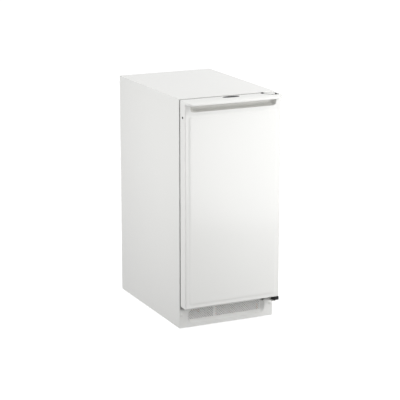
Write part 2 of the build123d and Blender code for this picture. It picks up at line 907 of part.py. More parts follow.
def pocket_void():
    """Scooped finger pocket under the lip."""
    deep = door_front + pocket_depth
    side = make_face(
        Polyline(
            (door_front - 2.0, cap_bottom),
            (deep - 4.0, cap_bottom),
            (deep, cap_bottom - 6.0),
            (deep, pocket_low + 12.0),
            (deep - 10.0, pocket_low + 1.5),
            (door_front - 2.0, pocket_low - 1.0),
            close=True,
        )
    )
    rounding = [v for v in side.vertices() if v.X > deep - 10.5]
    side = fillet(rounding, 3.5)
    scoop = extrude_x(side, -door_half, door_half)
    narrow = pocket_half - pocket_slope
    back = rounded_area(-narrow, narrow, pocket_low, door_top + 30.0, pocket_corner)
    front = Plane.XZ.offset(2.0 - door_front) * pocket_front()
    return scoop & loft([front, Plane.XZ.offset(-deep - 1.0) * back])


def pocket_shell():
    """Outside of the pocket's pan, behind the skin."""
    back = door_front + pocket_depth + pocket_wall
    front = door_front + panel_raise + skin_gauge
    pan = extrude_y(pocket_front(pocket_wall), front, back)
    return pan & block(-door_half, door_half, front, back, 0, cap_bottom)


def pocket_collar():
    """Rim that lines the skin's cut edge."""
    front = door_front + panel_raise
    rim = extrude_y(pocket_front(), front, front + skin_gauge)
    return rim & block(-door_half, door_half, front, front + 2, 0, cap_bottom)


def hinge_notch():
    """Cutter that clears the top hinge plate over the whole swing of the door."""
    reach = hinge_nose + notch_play
    swing = block(
        pin_x, half_width + 1, pin_y - reach, cabinet_front, notch_floor, total_height
    )
    return swing + Pos(0, 0, notch_floor) * extrude(top_hinge_outline(notch_play), amount=40.0)


def handle_cap():
    """White moulding that closes the door's top: lip, top and finger pocket in one."""
    top = extrude_x(handle_profile(), -door_half, door_half)
    plan = Pos(0, (door_front - lip_reach + door_rear) / 2) * Rectangle(
        2 * door_half, lip_reach + door_thickness
    )
    front_corners = [v for v in plan.vertices() if v.Y < door_front]
    plan = fillet(front_corners, lip_corner)
    top &= Pos(0, 0, cap_bottom - lip_drop) * extrude(plan, amount=lip_drop + 2 * cap_height)
    cap = top + pocket_shell() + pocket_collar() - pocket_void()
    cap -= hinge_notch()
    cap -= badge_solid(0.0, badge_sunk + 1.0)
    return cap - rod_z(bushing_radius, pin_x, pin_y, cap_bottom, notch_floor + 1)


def badge_solid(slack, height):
    """Oval plate on the handle's top."""
    oval = Pos(0, badge_y) * Ellipse(badge_length / 2 + slack, badge_width / 2 + slack)
    return Pos(0, 0, door_top - badge_sunk) * extrude(oval, amount=height)


def badge_plate():
    """Plain dark oval set into the handle."""
    plate = badge_solid(-0.1, badge_thickness)
    return fillet(plate.faces().sort_by(Axis.Z)[-1].edges(), 0.4)


def door_foam():
    """Rigid foam core of the door."""
    rear = door_rear - liner_wall
    core = door_inside() & block(-door_half, door_half, door_front, rear, 0, cap_bottom)
    core -= pocket_shell() + pocket_void()
    core -= rod_z(bushing_radius, pin_x, pin_y, door_bottom, door_bottom + bushing_depth)
    core -= rod_x(2.0, -door_half, -door_half + 7.0, plug_y, plug_z)
    return core


def door_liner():
    """Formed inner face of the door, with a raised frame that fills the opening."""
    half = door_half - skin_gauge
    low_edge = door_bottom + door_rear_corner
    sheet = block(-half, half, door_rear - liner_wall, door_rear, low_edge, cap_bottom)
    dyke_half, low, high = cold_half - 19.0, cold_floor + 20.0, cold_top - 20.0
    rise = door_gap + 5.0
    dyke = extrude_y(
        rounded_area(-dyke_half, dyke_half, low, high, 22.0), door_rear - 0.5, door_rear + rise
    )
    dyke = fillet(dyke.faces().sort_by(Axis.Y)[-1].edges(), 5.0)
    tray = extrude_y(
        rounded_area(-dyke_half + 18, dyke_half - 18, low + 18, high - 18, 16.0),
        door_rear + 1.0,
        door_rear + rise + 1,
    )
    tray = fillet(tray.faces().sort_by(Axis.Y)[0].edges(), 4.0)
    return sheet + dyke - tray


def door_gasket():
    """Magnetic seal: foot on the liner, bellows, and magnet bead towards the cabinet."""
    y0, y1 = door_rear, cabinet_front - gasket_clearance

    def ring(inset, width, a, b):
        half, low, high = gasket_half - inset, gasket_low + inset, gasket_top - inset
        outer = rounded_area(-half, half, low, high, 7.0)
        hole = rounded_area(-half + width, half - width, low + width, high - width, 4.0)
        return extrude_y(outer - hole, a, b)

    foot = ring(0.0, gasket_width, y0, y0 + 2.5)
    waist = ring(4.0, gasket_width - 8.0, y0 + 2.5, y0 + 5.0)
    bead = ring(1.5, gasket_width - 3.0, y0 + 5.0, y1)
    return foot + waist + bead


def hinge_bushings():
    """Flanged plastic bushings in the door's bottom and top."""
    bottom = rod_z(bushing_radius, pin_x, pin_y, door_bottom, door_bottom + bushing_depth)
    bore_end = door_bottom + bushing_depth - 2.5
    bottom -= rod_z(pin_radius + running_play, pin_x, pin_y, 0, bore_end)
    top = rod_z(bushing_radius, pin_x, pin_y, cap_bottom, notch_floor)
    top += rod_z(washer_radius, pin_x, pin_y, notch_floor, top_plate_low - part_play / 2)
    top -= rod_z(pin_radius + running_play, pin_x, pin_y, cap_bottom - 1, total_height)
    return Compound(children=[bottom.solid(), top.solid()])


# ---------------------------------------------------------------- machine space
def mount_places():
    """The compressor's four rubber mounts, as (x, y)."""
    return [
        (compressor_x + sx * mount_reach, compressor_y + sy * mount_reach * mount_aspect)
        for sx in (-1, 1)
        for sy in (-1, 1)
    ]


def compressor_mounts():
    """Rubber mounts under the compressor's feet, each on its bolt."""
    mounts = []
    high = compressor_low - compressor_wall
    groove_low, groove_high = base_top + 4.0, base_top + 7.0
    for x, y in mount_places():
        rubber = rod_z(mount_radius, x, y, base_top, high)
        rubber -= rod_z(mount_radius + 1, x, y, groove_low, groove_high)
        rubber += rod_z(mount_radius - 2.5, x, y, groove_low, groove_high)
        bolt = rod_z(mount_bolt_radius, x, y, base_low, compressor_low + 6.0)
        nut = Pos(x, y, compressor_low) * extrude(RegularPolygon(5.5, 6), amount=4.0)
        mounts.append((rubber + bolt + nut).solid())
    return Compound(children=mounts)


def compressor_base():
    """Pressed base plate with a foot at each corner."""
    low, high = compressor_low - compressor_wall, compressor_low
    corner = mount_radius + 2.0
    width, depth = 2 * (mount_reach + corner), 2 * (mount_reach * mount_aspect + corner)
    plate = Pos(compressor_x, compressor_y, low) * extrude(
        RectangleRounded(width, depth, corner), amount=high - low
    )
    for x, y in mount_places():
        plate -= rod_z(mount_bolt_radius, x, y, 0, high + 1)
    return plate


def compressor_shell():
    """Welded steel dome over the pump, on its base plate."""
    low, high = compressor_low, compressor_high
    rounding = compressor_radius * 0.48

    def dome(shrink):
        body = rod_z(compressor_radius - shrink, compressor_x, compressor_y, low, high - shrink)
        return fillet(body.faces().sort_by(Axis.Z)[-1].edges(), rounding - shrink)

    return dome(0.0) + compressor_flange() + compressor_base() - dome(compressor_wall)


def compressor_flange():
    """Welded seam round the dome."""
    low, high = compressor_seam_z - compressor_seam / 2, compressor_seam_z + compressor_seam / 2
    return rod_z(compressor_radius + compressor_seam, compressor_x, compressor_y, low, high)


def outside_compressor(shape):
    """Shape with what lies inside the dome taken away."""
    return shape - rod_z(compressor_radius, compressor_x, compressor_y, 0, compressor_high)


def compressor_pump():
    """Motor and pump block inside the dome."""
    low, high = compressor_low, compressor_high - compressor_wall
    shoulder = low + (high - low) * 0.42
    top = low + (high - low) * 0.77
    motor = rod_z(pump_radius, compressor_x, compressor_y, low, shoulder)
    return motor + rod_z(pump_radius * 0.76, compressor_x, compressor_y, shoulder, top)


def relay_cover():
    """Terminal cover on the compressor's side."""
    x0 = compressor_x + compressor_radius - 6.0
    low = compressor_seam_z + 8.0
    body = block(x0, x0 + 36.0, compressor_y - 26, compressor_y + 26, low, low + 46.0)
    return outside_compressor(fillet(edges_along(body, Axis.X), 5.0))


def condenser_axes():
    """Centres of the condenser's tube passes, as (y, z), from the hot end on."""
    y0 = condenser_front + (condenser_depth - condenser_row_gap) / 2
    heights = [condenser_low_z + condenser_pitch * n for n in range(condenser_rows)]
    back = [(y0 + condenser_row_gap, z) for z in reversed(heights)]
    front = [(y0, z) for z in heights]
    return back + front


def condenser_tubes():
    """One copper tube folded back and forth through the fins."""
    left, right = condenser_left - condenser_bend, condenser_right + condenser_bend
    points = []
    for n, (y, z) in enumerate(condenser_axes()):
        ends = [(left, y, z), (right, y, z)]
        points += ends if n % 2 == 0 else ends[::-1]
    points[0] = (condenser_left - condenser_stub, *points[0][1:])
    points[-1] = (condenser_left - condenser_stub, *points[-1][1:])
    radii = [condenser_pitch / 2 - 0.1] * (len(points) - 2)
    return tube(condenser_tube, points, radii)


def condenser_fins():
    """Thin plates on the tube, with a thicker one at each end."""
    y0, y1 = condenser_front, condenser_front + condenser_depth
    z0 = condenser_low_z - condenser_pitch * 0.75
    z1 = z0 + condenser_height
    end_low = base_top
    count = int((condenser_right - condenser_left) // fin_pitch)
    step = (condenser_right - condenser_left) / count
    holes = Sketch() + [
        Pos(y, z) * Circle(condenser_tube + running_play) for y, z in condenser_axes()
    ]
    fin_area = Pos((y0 + y1) / 2, (z0 + z1) / 2) * Rectangle(y1 - y0, z1 - z0) - holes
    end_area = (
        Pos((y0 + y1) / 2, (end_low + z1 + 2) / 2) * Rectangle(y1 - y0, z1 + 2 - end_low) - holes
    )
    fins = []
    for n in range(count + 1):
        x = condenser_left + n * step
        at_end = n in (0, count)
        gauge = fin_end_gauge if at_end else fin_gauge
        area = end_area if at_end else fin_area
        fins.append(extrude_x(area, x - gauge / 2, x + gauge / 2).solid())
    return Compound(children=fins)


def fan_shroud():
    """Folded sheet: wall between the two air paths, and the fan's mouth with a motor bridge."""
    y0, y1 = fan_y - 12.0, fan_y - 10.8
    z1 = machine_height - part_play
    right = half_width - steel - base_gauge - part_play
    plate = block(wall_x - 0.6, right, y0, y1, base_top, z1)
    plate -= rod_y(fan_radius + 2.5, fan_x, y0 - 1, y1 + 1, fan_z)
    bridge_y = fan_y + 12.0
    bridge = block(fan_x - 10, fan_x + 10, bridge_y, bridge_y + 1.5, base_top, z1)
    foot = block(fan_x - 10, fan_x + 10, y0, bridge_y + 1.5, base_top, base_top + 1.2)
    bridge -= rod_y(motor_shaft + 1.5, fan_x, bridge_y - 1, bridge_y + 3, fan_z)
    wall = block(wall_x - 0.6, wall_x + 0.6, cabinet_front + rail_depth, y1, base_top, z1)
    for y, z in (condenser_axes()[0], condenser_axes()[-1]):
        wall -= rod_x(condenser_tube + part_play, wall_x - 2, wall_x + 2, y, z)
    return plate + bridge + foot + wall


def fan_motor():
    """Small induction motor with its shaft, behind the fan."""
    y0 = fan_y + 13.5
    half = motor_size / 2
    body = block(fan_x - half, fan_x + half, y0, y0 + 18, fan_z - half, fan_z + half)
    body = fillet(edges_along(body, Axis.Y), 4.0)
    body += rod_y(15.0, fan_x, y0 + 18, y0 + 32, fan_z)
    return body + rod_y(motor_shaft, fan_x, fan_y - 7, y0, fan_z)


def fan_blade():
    """Fan wheel: hub and pitched blades."""
    hub = rod_y(fan_hub, fan_x, fan_y - fan_depth, fan_y + fan_depth, fan_z)
    hub = fillet(hub.faces().sort_by(Axis.Y)[0].edges(), 3.0)
    reach = fan_radius - fan_hub + 2.0
    wheel = hub
    for n in range(fan_blades):
        blade = Pos(0, 0, fan_hub - 2.0 + reach / 2) * Rot(0, 0, 32) * Box(22.0, 1.6, reach)
        wheel += Pos(fan_x, fan_y, fan_z) * Rot(0, 360 / fan_blades * n, 0) * blade
    rim = rod_y(fan_radius, fan_x, fan_y - 12, fan_y + 12, fan_z)
    wheel &= rim
    return wheel - rod_y(motor_shaft + running_play, fan_x, fan_y - 7.5, fan_y + 10, fan_z)


def filter_drier():
    """Copper drier with the tube that feeds it from the condenser."""
    y0 = condenser_front + condenser_depth + 8.0
    y1 = y0 + drier_length
    can = rod_y(drier_radius, drier_x, y0, y1, drier_z)
    ends = can.faces().sort_by(Axis.Y)
    can = fillet(list(ends[0].edges()) + list(ends[-1].edges()), drier_radius * 0.6)
    y, z = condenser_axes()[-1]
    points = [
        (condenser_left - condenser_stub, y, z),
        (drier_x, y, z),
        (drier_x, y, drier_z),
        (drier_x, y1 + 12.0, drier_z),
    ]
    return can + tube(copper_radius, points, [14.0, 14.0])


def discharge_line():
    """Hot-gas tube from the compressor to the condenser's first pass."""
    y, z = condenser_axes()[0]
    y_out, z_out = compressor_y - 20.0, compressor_seam_z + 32.0
    points = [
        (condenser_left - condenser_stub, y, z),
        (discharge_x, y, z),
        (discharge_x, y_out, z),
        (discharge_x, y_out, z_out),
        (compressor_x - compressor_radius + 8.0, y_out, z_out),
    ]
    return outside_compressor(tube(copper_radius, points, [14.0, 20.0, 20.0]))


def suction_line():
    """Cold-gas tube from the evaporator down to the compressor."""
    top = evaporator_low - 2.0
    y_in, z_in = compressor_y + 20.0, compressor_seam_z + 20.0
    below = compressor_space_height - 26.0
    points = [
        (suction_x, evaporator_y, top),
        (suction_x, evaporator_y, below),
        (suction_x, y_in, below - 20.0),
        (suction_x, y_in, z_in),
        (compressor_x - compressor_radius + 8.0, y_in, z_in),
    ]
    return outside_compressor(tube(suction_radius, points, [14.0, 14.0, 16.0]))


def suction_cutter():
    """Hole for the suction tube through ceiling, foam and liner."""
    return rod_z(
        suction_radius + 0.3,
        suction_x,
        evaporator_y,
        compressor_space_height - 2,
        hump_top + 2,
    )


def cord_gland():
    """Strain-relief bush where the mains lead leaves the rear cover."""
    y0, y1 = cabinet_rear - 5.0, cabinet_rear + 7.0
    bush = rod_y(gland_radius, gland_x, y0, y1, gland_z)
    bush += rod_y(gland_radius + 3.0, gland_x, cabinet_rear, cabinet_rear + 3.0, gland_z)
    bush += rod_y(gland_radius + 2.0, gland_x, y0, cabinet_rear - steel, gland_z)
    bush = fillet(bush.faces().sort_by(Axis.Y)[-1].edges(), 1.5)
    return bush - rod_y(gland_hole, gland_x, y0 - 1, y1 + 1, gland_z)


def water_valve():
    """Solenoid valve with its threaded inlet through the rear cover."""
    y1 = cabinet_rear - steel - 4.0
    body = block(valve_x - 16, valve_x + 16, y1 - 34, y1, valve_z - 14, valve_z + 14)
    body = fillet(edges_along(body, Axis.Y), 4.0)
    body += rod_y(inlet_radius, valve_x, y1, cabinet_rear + rear_reach, valve_z)
    body += rod_z(13.0, valve_x, y1 - 17, valve_z + 14, valve_z + 50)
    body += block(valve_x - 16, valve_x - 13, y1 - 26, y1, base_top, valve_z - 10)
    outlet_x = valve_x + 16
    return body + rod_x(5.0, outlet_x - 2, outlet_x + 9, y1 - 17, valve_z)


def water_line():
    """Plastic tube from the valve up the back and into the fill cup."""
    valve_y = cabinet_rear - steel - 4.0 - 17.0
    outlet = valve_x + 25.0
    points = [
        (outlet, valve_y, valve_z),
        (line_x + 12.0, valve_y, valve_z),
        (line_x + 12.0, valve_y, line_low_z),
        (line_x, valve_y, line_low_z),
        (line_x, line_y, line_low_z),
        (line_x, line_y, fill_z),
        (line_x, fill_y, fill_z),
    ]
    return tube(water_line_radius, points, [7.0, 5.5, 5.0, 9.0, 9.0])


def fill_tube_cutter():
    """Hole for the water tube through rear panel, foam and liner."""
    return rod_y(water_line_radius + 0.5, line_x, cold_rear - 2, cabinet_rear + 1, fill_z)


def tube_clips():
    """Clips that hold the water tube to the rear panel."""
    clips = []
    span = fill_z - compressor_space_height
    for share in (0.2, 0.5, 0.8):
        z = compressor_space_height + span * share
        body = block(line_x - 6, line_x + 6, cabinet_rear, cabinet_rear + 11.0, z - 5, z + 5)
        body = fillet(edges_along(body, Axis.Z, lambda c: c.Y > cabinet_rear + 5), 4.0)
        tab = block(line_x + 6, line_x + 18, cabinet_rear, cabinet_rear + 2.0, z - 5, z + 5)
        clip = body + tab - rod_z(water_line_radius + 0.05, line_x, line_y, z - 6, z + 6)
        clips.append(clip.solid())
    return Compound(children=clips)


# ---------------------------------------------------------------- cold space fittings
def evaporator_plate():
    """Bonded aluminium cold plate with its folded channel, on four feet."""
    half = evaporator_half
    plate = extrude_y(
        rounded_area(-half, half, evaporator_low, evaporator_high, 8.0),
        evaporator_y - 0.8,
        evaporator_y + 0.8,
    )
    inset = 18.0
    pitch = (evaporator_high - evaporator_low - 2 * inset) / (evaporator_turns - 1)
    points = [(suction_x, evaporator_y, evaporator_low - 2.0)]
    for n in range(evaporator_turns):
        z = evaporator_low + inset + n * pitch
        ends = [(-half + inset, evaporator_y, z), (half - inset, evaporator_y, z)]
        if n == 0:
            points += [(suction_x, evaporator_y, z), ends[1]]
        else:
            points += ends if n % 2 == 0 else ends[::-1]
    channel = tube(suction_radius, points, [10.0] + [pitch * 0.3] * (len(points) - 3))
    feet = Part()
    for x in (-half + 8, half - 8):
        for z in (evaporator_low + 9, evaporator_high - 9):
            feet += rod_y(5.0, x, evaporator_y, cold_rear, z)
    return plate + channel + feet


def bin_shelf():
    """Welded wire shelf under the ice bin."""
    z = shelf_z
    half = cold_half - 3.0
    front, rear = cabinet_front + 28.0, hump_front - 4.0
    rim_points = [(half, front, z), (half, rear, z), (-half, rear, z), (-half, front, z)]
    shelf = Part()
    for a, b in zip(rim_points, rim_points[1:] + rim_points[:1]):
        if near(a[0], b[0]):
            shelf += rod_y(shelf_wire, a[0], *sorted((a[1], b[1])), z)
        else:
            shelf += rod_x(shelf_wire, *sorted((a[0], b[0])), a[1], z)
    for x, y, _ in rim_points:
        shelf += Pos(x, y, z) * Sphere(shelf_wire)
    count = int(2 * half // shelf_pitch)
    step = 2 * half / count
    for n in range(1, count):
        x = -half + n * step
        shelf += rod_y(shelf_wire * 0.8, x, front, rear, z)
    return shelf


def ice_bin():
    """Open storage bin with a rolled rim and a hand hole in its front."""
    middle = bin_front + bin_length / 2
    rim_out = 8.0

    def tub(shrink, low, high):
        foot = 2 * math.tan(math.radians(bin_taper)) * (bin_top - low)
        area = RectangleRounded(
            2 * (bin_half - rim_out - shrink) - foot,
            bin_length - 2 * (rim_out + shrink) - foot,
            bin_corner - shrink,
        )
        return Pos(0, middle, low) * extrude(area, amount=high - low, taper=-bin_taper)

    body = tub(0.0, bin_low, bin_top)
    body = fillet(body.faces().sort_by(Axis.Z)[0].edges(), 6.0)
    rim = Pos(0, middle, bin_top - 3.0) * extrude(
        RectangleRounded(2 * bin_half, bin_length, bin_corner + rim_out), amount=3.0
    )
    inside = tub(bin_wall, bin_low + bin_wall, bin_top + 0.5)
    hand = Pos(0, bin_top - 34.0) * SlotOverall(104.0, 26.0)
    hole = extrude_y(hand, bin_front - 2.0, bin_front + 30.0)
    return body + rim - inside - hole


def ice_scoop():
    """Hand scoop: open-fronted blade and a flat handle with a hanging hole."""
    x1 = cold_half - 3.0
    x0 = x1 - scoop_depth
    half = scoop_width / 2
    high, low = scoop_high, scoop_low
    blade = block(x0, x1, scoop_y - half, scoop_y + half, low, high)
    blade = fillet(edges_along(blade, Axis.Z, lambda c: near(c.X, x1)), 14.0)
    inner = half - scoop_wall
    hollow = block(
        x0 - 1, x1 - scoop_wall, scoop_y - inner, scoop_y + inner, low - 1, high - scoop_wall
    )
    hollow = fillet(edges_along(hollow, Axis.Z, lambda c: near(c.X, x1 - scoop_wall)), 12.0)
    blade -= hollow
    slope = make_face(
        Polyline((x0 - 1, low - 1), (x1 - 8.0, low - 1), (x0 - 1, low + 46.0), close=True)
    )
    blade -= extrude_y(slope, scoop_y - half - 1, scoop_y + half + 1)
    handle = block(x1 - 5.0, x1, scoop_y - 13, scoop_y + 13, high - 6, scoop_peg_z + 13)
    handle = fillet(edges_along(handle, Axis.X, lambda c: c.Z > high), 12.0)
    scoop = blade + handle
    hole_z = scoop_peg_z + peg_radius + 0.3 - scoop_hole
    return scoop - rod_x(scoop_hole, x1 - 10, x1 + 4, scoop_y, hole_z)


def control_box():
    """Housing of the thermostat and the ice switch, on the ceiling."""
    y1 = control_front + control_depth
    wall = control_wall
    body = block(control_left, control_right, control_front, y1, control_low, cold_top)
    body = fillet(edges_along(body, Axis.X, lambda c: near(c.Z, control_low)), 6.0)
    body -= block(
        control_left + wall,
        control_right - wall,
        control_front + wall,
        y1 - wall,
        control_low + wall,
        cold_top + 1,
    )
    body -= rod_y(stem_radius + 0.4, knob_x, control_front - 1, control_front + 3, control_z)
    slot = block(
        rocker_x - rocker_half - 0.4,
        rocker_x + rocker_half + 0.4,
        control_front - 1,
        control_front + 3,
        control_z - rocker_height / 2 - 0.6,
        control_z + rocker_height / 2 + 0.6,
    )
    return body - slot


def thermostat():
    """Thermostat body behind the control housing's front, and its sensing bulb."""
    y0 = control_front + control_wall
    body = block(knob_x - 17, knob_x + 17, y0, y0 + 24, control_z - 14, control_z + 14)
    return fillet(edges_along(body, Axis.Y), 3.0)


def thermostat_knob():
    """Ribbed knob with a pointer, and its stem."""
    y0 = control_front - 0.5
    knob = rod_y(knob_radius, knob_x, y0 - 12, y0, control_z)
    knob = fillet(knob.faces().sort_by(Axis.Y)[0].edges(), 1.5)
    for n in range(18):
        angle = math.radians(20 * n + 10)
        reach = knob_radius + 0.4
        x, z = knob_x + reach * math.cos(angle), control_z + reach * math.sin(angle)
        knob -= rod_y(1.3, x, y0 - 13, y0 - 2, z)
    pointer = block(knob_x - 0.8, knob_x + 0.8, y0 - 13, y0 - 11.4, control_z + 3, control_z + 12)
    stem = rod_y(stem_radius, knob_x, y0, control_front + control_wall - 0.3, control_z)
    return knob - pointer + stem


def rocker_switch():
    """Rocker of the ice switch, tipped to its rest side."""
    half = rocker_height / 2
    depth = 4.5
    side = make_face(
        Polyline(
            (-depth - 1.5, -half),
            (-depth, 0),
            (-depth - 1.5, half),
            (depth - 1.0, half * 0.4),
            (depth - 1.0, -half * 0.4),
            close=True,
        )
    )
    rocker = Rot(rocker_tilt, 0, 0) * extrude_x(side, -rocker_half, rocker_half)
    rocker += rod_x(rocker_pivot, -rocker_half - 0.3, rocker_half + 0.3, 0, 0)
    return Pos(rocker_x, rocker_pivot_y, control_z) * rocker


# ---------------------------------------------------------------- ice-making head
def half_round(radius, rim):
    """Section of the mould in (x, z): half round below its axis, straight sides above."""
    lower = Circle(radius) & Pos(0, -radius) * Rectangle(2 * radius, 2 * radius)
    return Pos(mould_x, mould_z) * (lower + Pos(0, rim / 2) * Rectangle(2 * radius, rim))


def compartments():
    """Start and end of each ice compartment along Y."""
    inner = mould_length - 2 * mould_wall
    span = (inner - divider * (mould_count - 1)) / mould_count
    for n in range(mould_count):
        start = mould_front + mould_wall + n * (span + divider)
        yield start, start + span


def ice_mould():
    """Cast aluminium mould with crescent compartments and two wall lugs."""
    body = extrude_y(half_round(mould_radius + mould_wall, mould_rim), mould_front, mould_back)
    for y0, y1 in compartments():
        body -= extrude_y(half_round(mould_radius, mould_rim + 1), y0, y1)
    clear_low, clear_high = mould_z - shaft_radius - 3.0, mould_z + mould_rim + 1
    body -= block(
        mould_x - mould_radius,
        mould_x + mould_radius,
        mould_front + mould_wall,
        mould_back - mould_wall,
        clear_low,
        clear_high,
    )
    body -= rod_y(shaft_radius + running_play, mould_x, mould_front - 1, mould_back + 1, mould_z)
    body -= block(*fill_lip_x, mould_back - mould_wall - 1, mould_back + 1, *fill_lip_z)
    wall_x0, lug_x1 = -cold_half, mould_x - mould_radius - 1
    half = lug_width / 2
    for y in (mould_front + 30.0, mould_back - 30.0):
        lug = block(wall_x0, lug_x1, y - half, y + half, mould_z - 2, mould_z + mould_rim)
        foot = block(wall_x0, wall_x0 + 4, y - half, y + half, mould_z - 2, mould_z + lug_foot)
        body += lug + foot - rod_x(2.4, wall_x0 - 1, wall_x0 + 5, y, mould_z + lug_foot - 10)
    return body


def mould_heater():
    """U-shaped heater pressed against the mould's underside."""
    radius, drop = 3.2, mould_radius + mould_wall + 3.2
    angle = math.radians(24)
    offset, z = drop * math.sin(angle), mould_z - drop * math.cos(angle)
    y0, y1 = mould_front + 2.0, mould_back - 14.0
    points = [
        (mould_x - offset, y0, z),
        (mould_x - offset, y1, z),
        (mould_x + offset, y1, z),
        (mould_x + offset, y0, z),
    ]
    heater = tube(radius, points, [10.0, 10.0])
    clear = rod_y(mould_radius + mould_wall, mould_x, mould_front - 1, mould_back + 1, mould_z)
    return heater - clear


def ice_stripper():
    """Comb over the mould's discharge side: teeth stand over the dividers."""
    x_wall = mould_x + mould_radius
    z0 = mould_z + mould_rim
    rail = block(x_wall, x_wall + 10, mould_front + 2, mould_back - 2, z0, z0 + 3)
    skirt = block(x_wall + 7, x_wall + 10, mould_front + 2, mould_back - 2, z0 - skirt_depth, z0)
    comb = rail + skirt
    places = list(compartments())
    for (_, end), (start, _) in zip(places, places[1:]):
        y = (end + start) / 2
        tooth = make_face(
            Polyline(
                (mould_x + shaft_radius + 4.0, z0 + 1.5),
                (x_wall + 2, z0 + 3),
                (x_wall + 2, z0),
                (mould_x + shaft_radius + 4.0, z0),
                close=True,
            )
        )
        comb += extrude_y(tooth, y - 2.5, y + 2.5)
    return comb


def fill_cup():
    """Cup that leads the water into the rear compartment."""
    y0, y1 = mould_back, mould_back + fill_cup_length
    low = mould_z - cup_drop
    high = low + cup_height
    x0, x1 = mould_x - cup_width / 2, mould_x + cup_width / 2
    cup = block(x0, x1, y0, y1, low, high)
    cup = fillet(edges_along(cup, Axis.X, lambda c: near(c.Z, low), lambda c: c.Y > y0 + 5), 8.0)
    cup -= block(x0 + 2, x1 - 2, y0 + 2, y1 - 2, fill_lip_z[0] + 0.5, high + 1)
    cup -= block(*fill_lip_x, y0 - 1, y0 + 3, *fill_lip_z)
    cup -= rod_y(shaft_radius + 1.0, mould_x, y0 - 1, y0 + 5, mould_z)
    return cup - rod_y(water_line_radius + 0.5, line_x, y1 - 3, y1 + 1, fill_z)


def head_outline(shrink):
    """Front outline of the drive housing."""
    return rounded_area(
        mould_x - head_left + shrink,
        mould_x + head_right - shrink,
        mould_z - head_below + shrink,
        mould_z + head_above - shrink,
        8.0 - shrink,
    )


def head_housing():
    """Drive housing between the mould and the front cover."""
    y0, y1 = head_front + cover_gauge, mould_front
    body = extrude_y(head_outline(0.0), y0, y1)
    body -= extrude_y(head_outline(head_wall), y0 - 1, y1 - head_wall)
    body -= rod_y(shaft_radius + running_play, mould_x, y1 - 5, y1 + 1, mould_z)
    side = mould_x + head_right
    body -= rod_x(arm_radius + running_play, side - 16, side + 14, arm_y, arm_z)
    for x, z in cover_bosses():
        boss = rod_y(4.0, x, y0, y1 - head_wall / 2, z)
        body += boss - rod_y(1.3, x, y0 - 1, y0 + 14, z)
    return body


def cover_bosses():
    """Screw bosses of the drive cover, as (x, z)."""
    inset = 6.0
    return [
        (mould_x - head_left + inset, mould_z + head_above - inset),
        (mould_x + head_right - inset, mould_z - head_below + inset),
    ]


def head_cover():
    """Front cover of the drive housing."""
    y0, y1 = head_front, head_front + cover_gauge
    cover = extrude_y(head_outline(0.0), y0, y1)
    cover = fillet(cover.faces().sort_by(Axis.Y)[0].edges(), 1.2)
    window = extrude_y(
        Pos(mould_x + 1, mould_z - 12) * RectangleRounded(head_left + 14, head_above - 16, 5),
        y0 - 1,
        y0 + 0.8,
    )
    for x, z in cover_bosses():
        cover -= rod_y(1.5, x, y0 - 1, y1 + 1, z)
    return cover - window


def drive_motor():
    """Timer motor fixed behind the pinion, with its shaft."""
    y1 = mould_front - head_wall
    y0 = gear_y + gear_width + 2.0
    body = rod_y(17.0, mould_x, y0, y1, motor_z)
    return body + rod_y(2.5, mould_x, gear_y - 2.0, y0, motor_z)


def involute_outline(teeth, bore, turn):
    """Spur gear outline with involute flanks, as a face in its own plane."""
    pitch_r = gear_module * teeth / 2
    base_r = pitch_r * math.cos(math.radians(20))
    tip_r = pitch_r + 0.8 * gear_module
    root_r = pitch_r - 1.2 * gear_module
    half_tooth = math.pi / (2 * teeth) - gear_backlash / (2 * pitch_r) / 2

    def involute(radius):
        if radius <= base_r:
            return 0.0
        a = math.acos(base_r / radius)
        return math.tan(a) - a

    at_pitch = involute(pitch_r)
    radii = [root_r, max(root_r + 0.1, base_r), pitch_r, tip_r]
    flank = [(r, half_tooth + at_pitch - involute(r)) for r in radii]
    outline = []
    for n in range(teeth):
        middle = 2 * math.pi * n / teeth + turn
        rising = [(r, middle - a) for r, a in flank]
        falling = [(r, middle + a) for r, a in reversed(flank)]
        outline += [(r * math.cos(a), r * math.sin(a)) for r, a in rising + falling]
    return make_face(Polyline(*outline, close=True)) - Circle(bore)


def gear_solid(teeth, bore, turn, x, z):
    """Spur gear on an axis along Y."""
    return Pos(x, 0, z) * extrude_y(involute_outline(teeth, bore, turn), gear_y, gear_y + gear_width)


def ejector_gear():
    """Timing gear on the ejector shaft; a tooth gap faces the pinion at rest."""
    turn = math.pi / 2 + math.pi / ejector_teeth
    gear = gear_solid(ejector_teeth, shaft_radius, turn, mould_x, mould_z)
    hub = rod_y(9.0, mould_x, gear_y + gear_width, gear_y + gear_width + 8, mould_z)
    return gear + (hub - rod_y(shaft_radius, mould_x, gear_y, gear_y + 30, mould_z))


def motor_pinion():
    """Pinion on the motor shaft; a tooth faces the timing gear at rest."""
    return gear_solid(pinion_teeth, 2.5 + running_play, -math.pi / 2, mould_x, motor_z)


def ejector_rake():
    """Shaft with one finger for each ice compartment."""
    shaft = rod_y(shaft_radius, mould_x, gear_y - 4.0, mould_back + 3.0, mould_z)
    tilt = 22.0
    for y0, y1 in compartments():
        y = (y0 + y1) / 2
        finger = Pos(0, 0, finger_radius / 2) * Box(5.0, 7.0, finger_radius)
        finger = fillet(finger.faces().sort_by(Axis.Z)[-1].edges().filter_by(Axis.Y), 2.0)
        shaft += Pos(mould_x, y, mould_z) * Rot(0, -tilt, 0) * finger
    return shaft


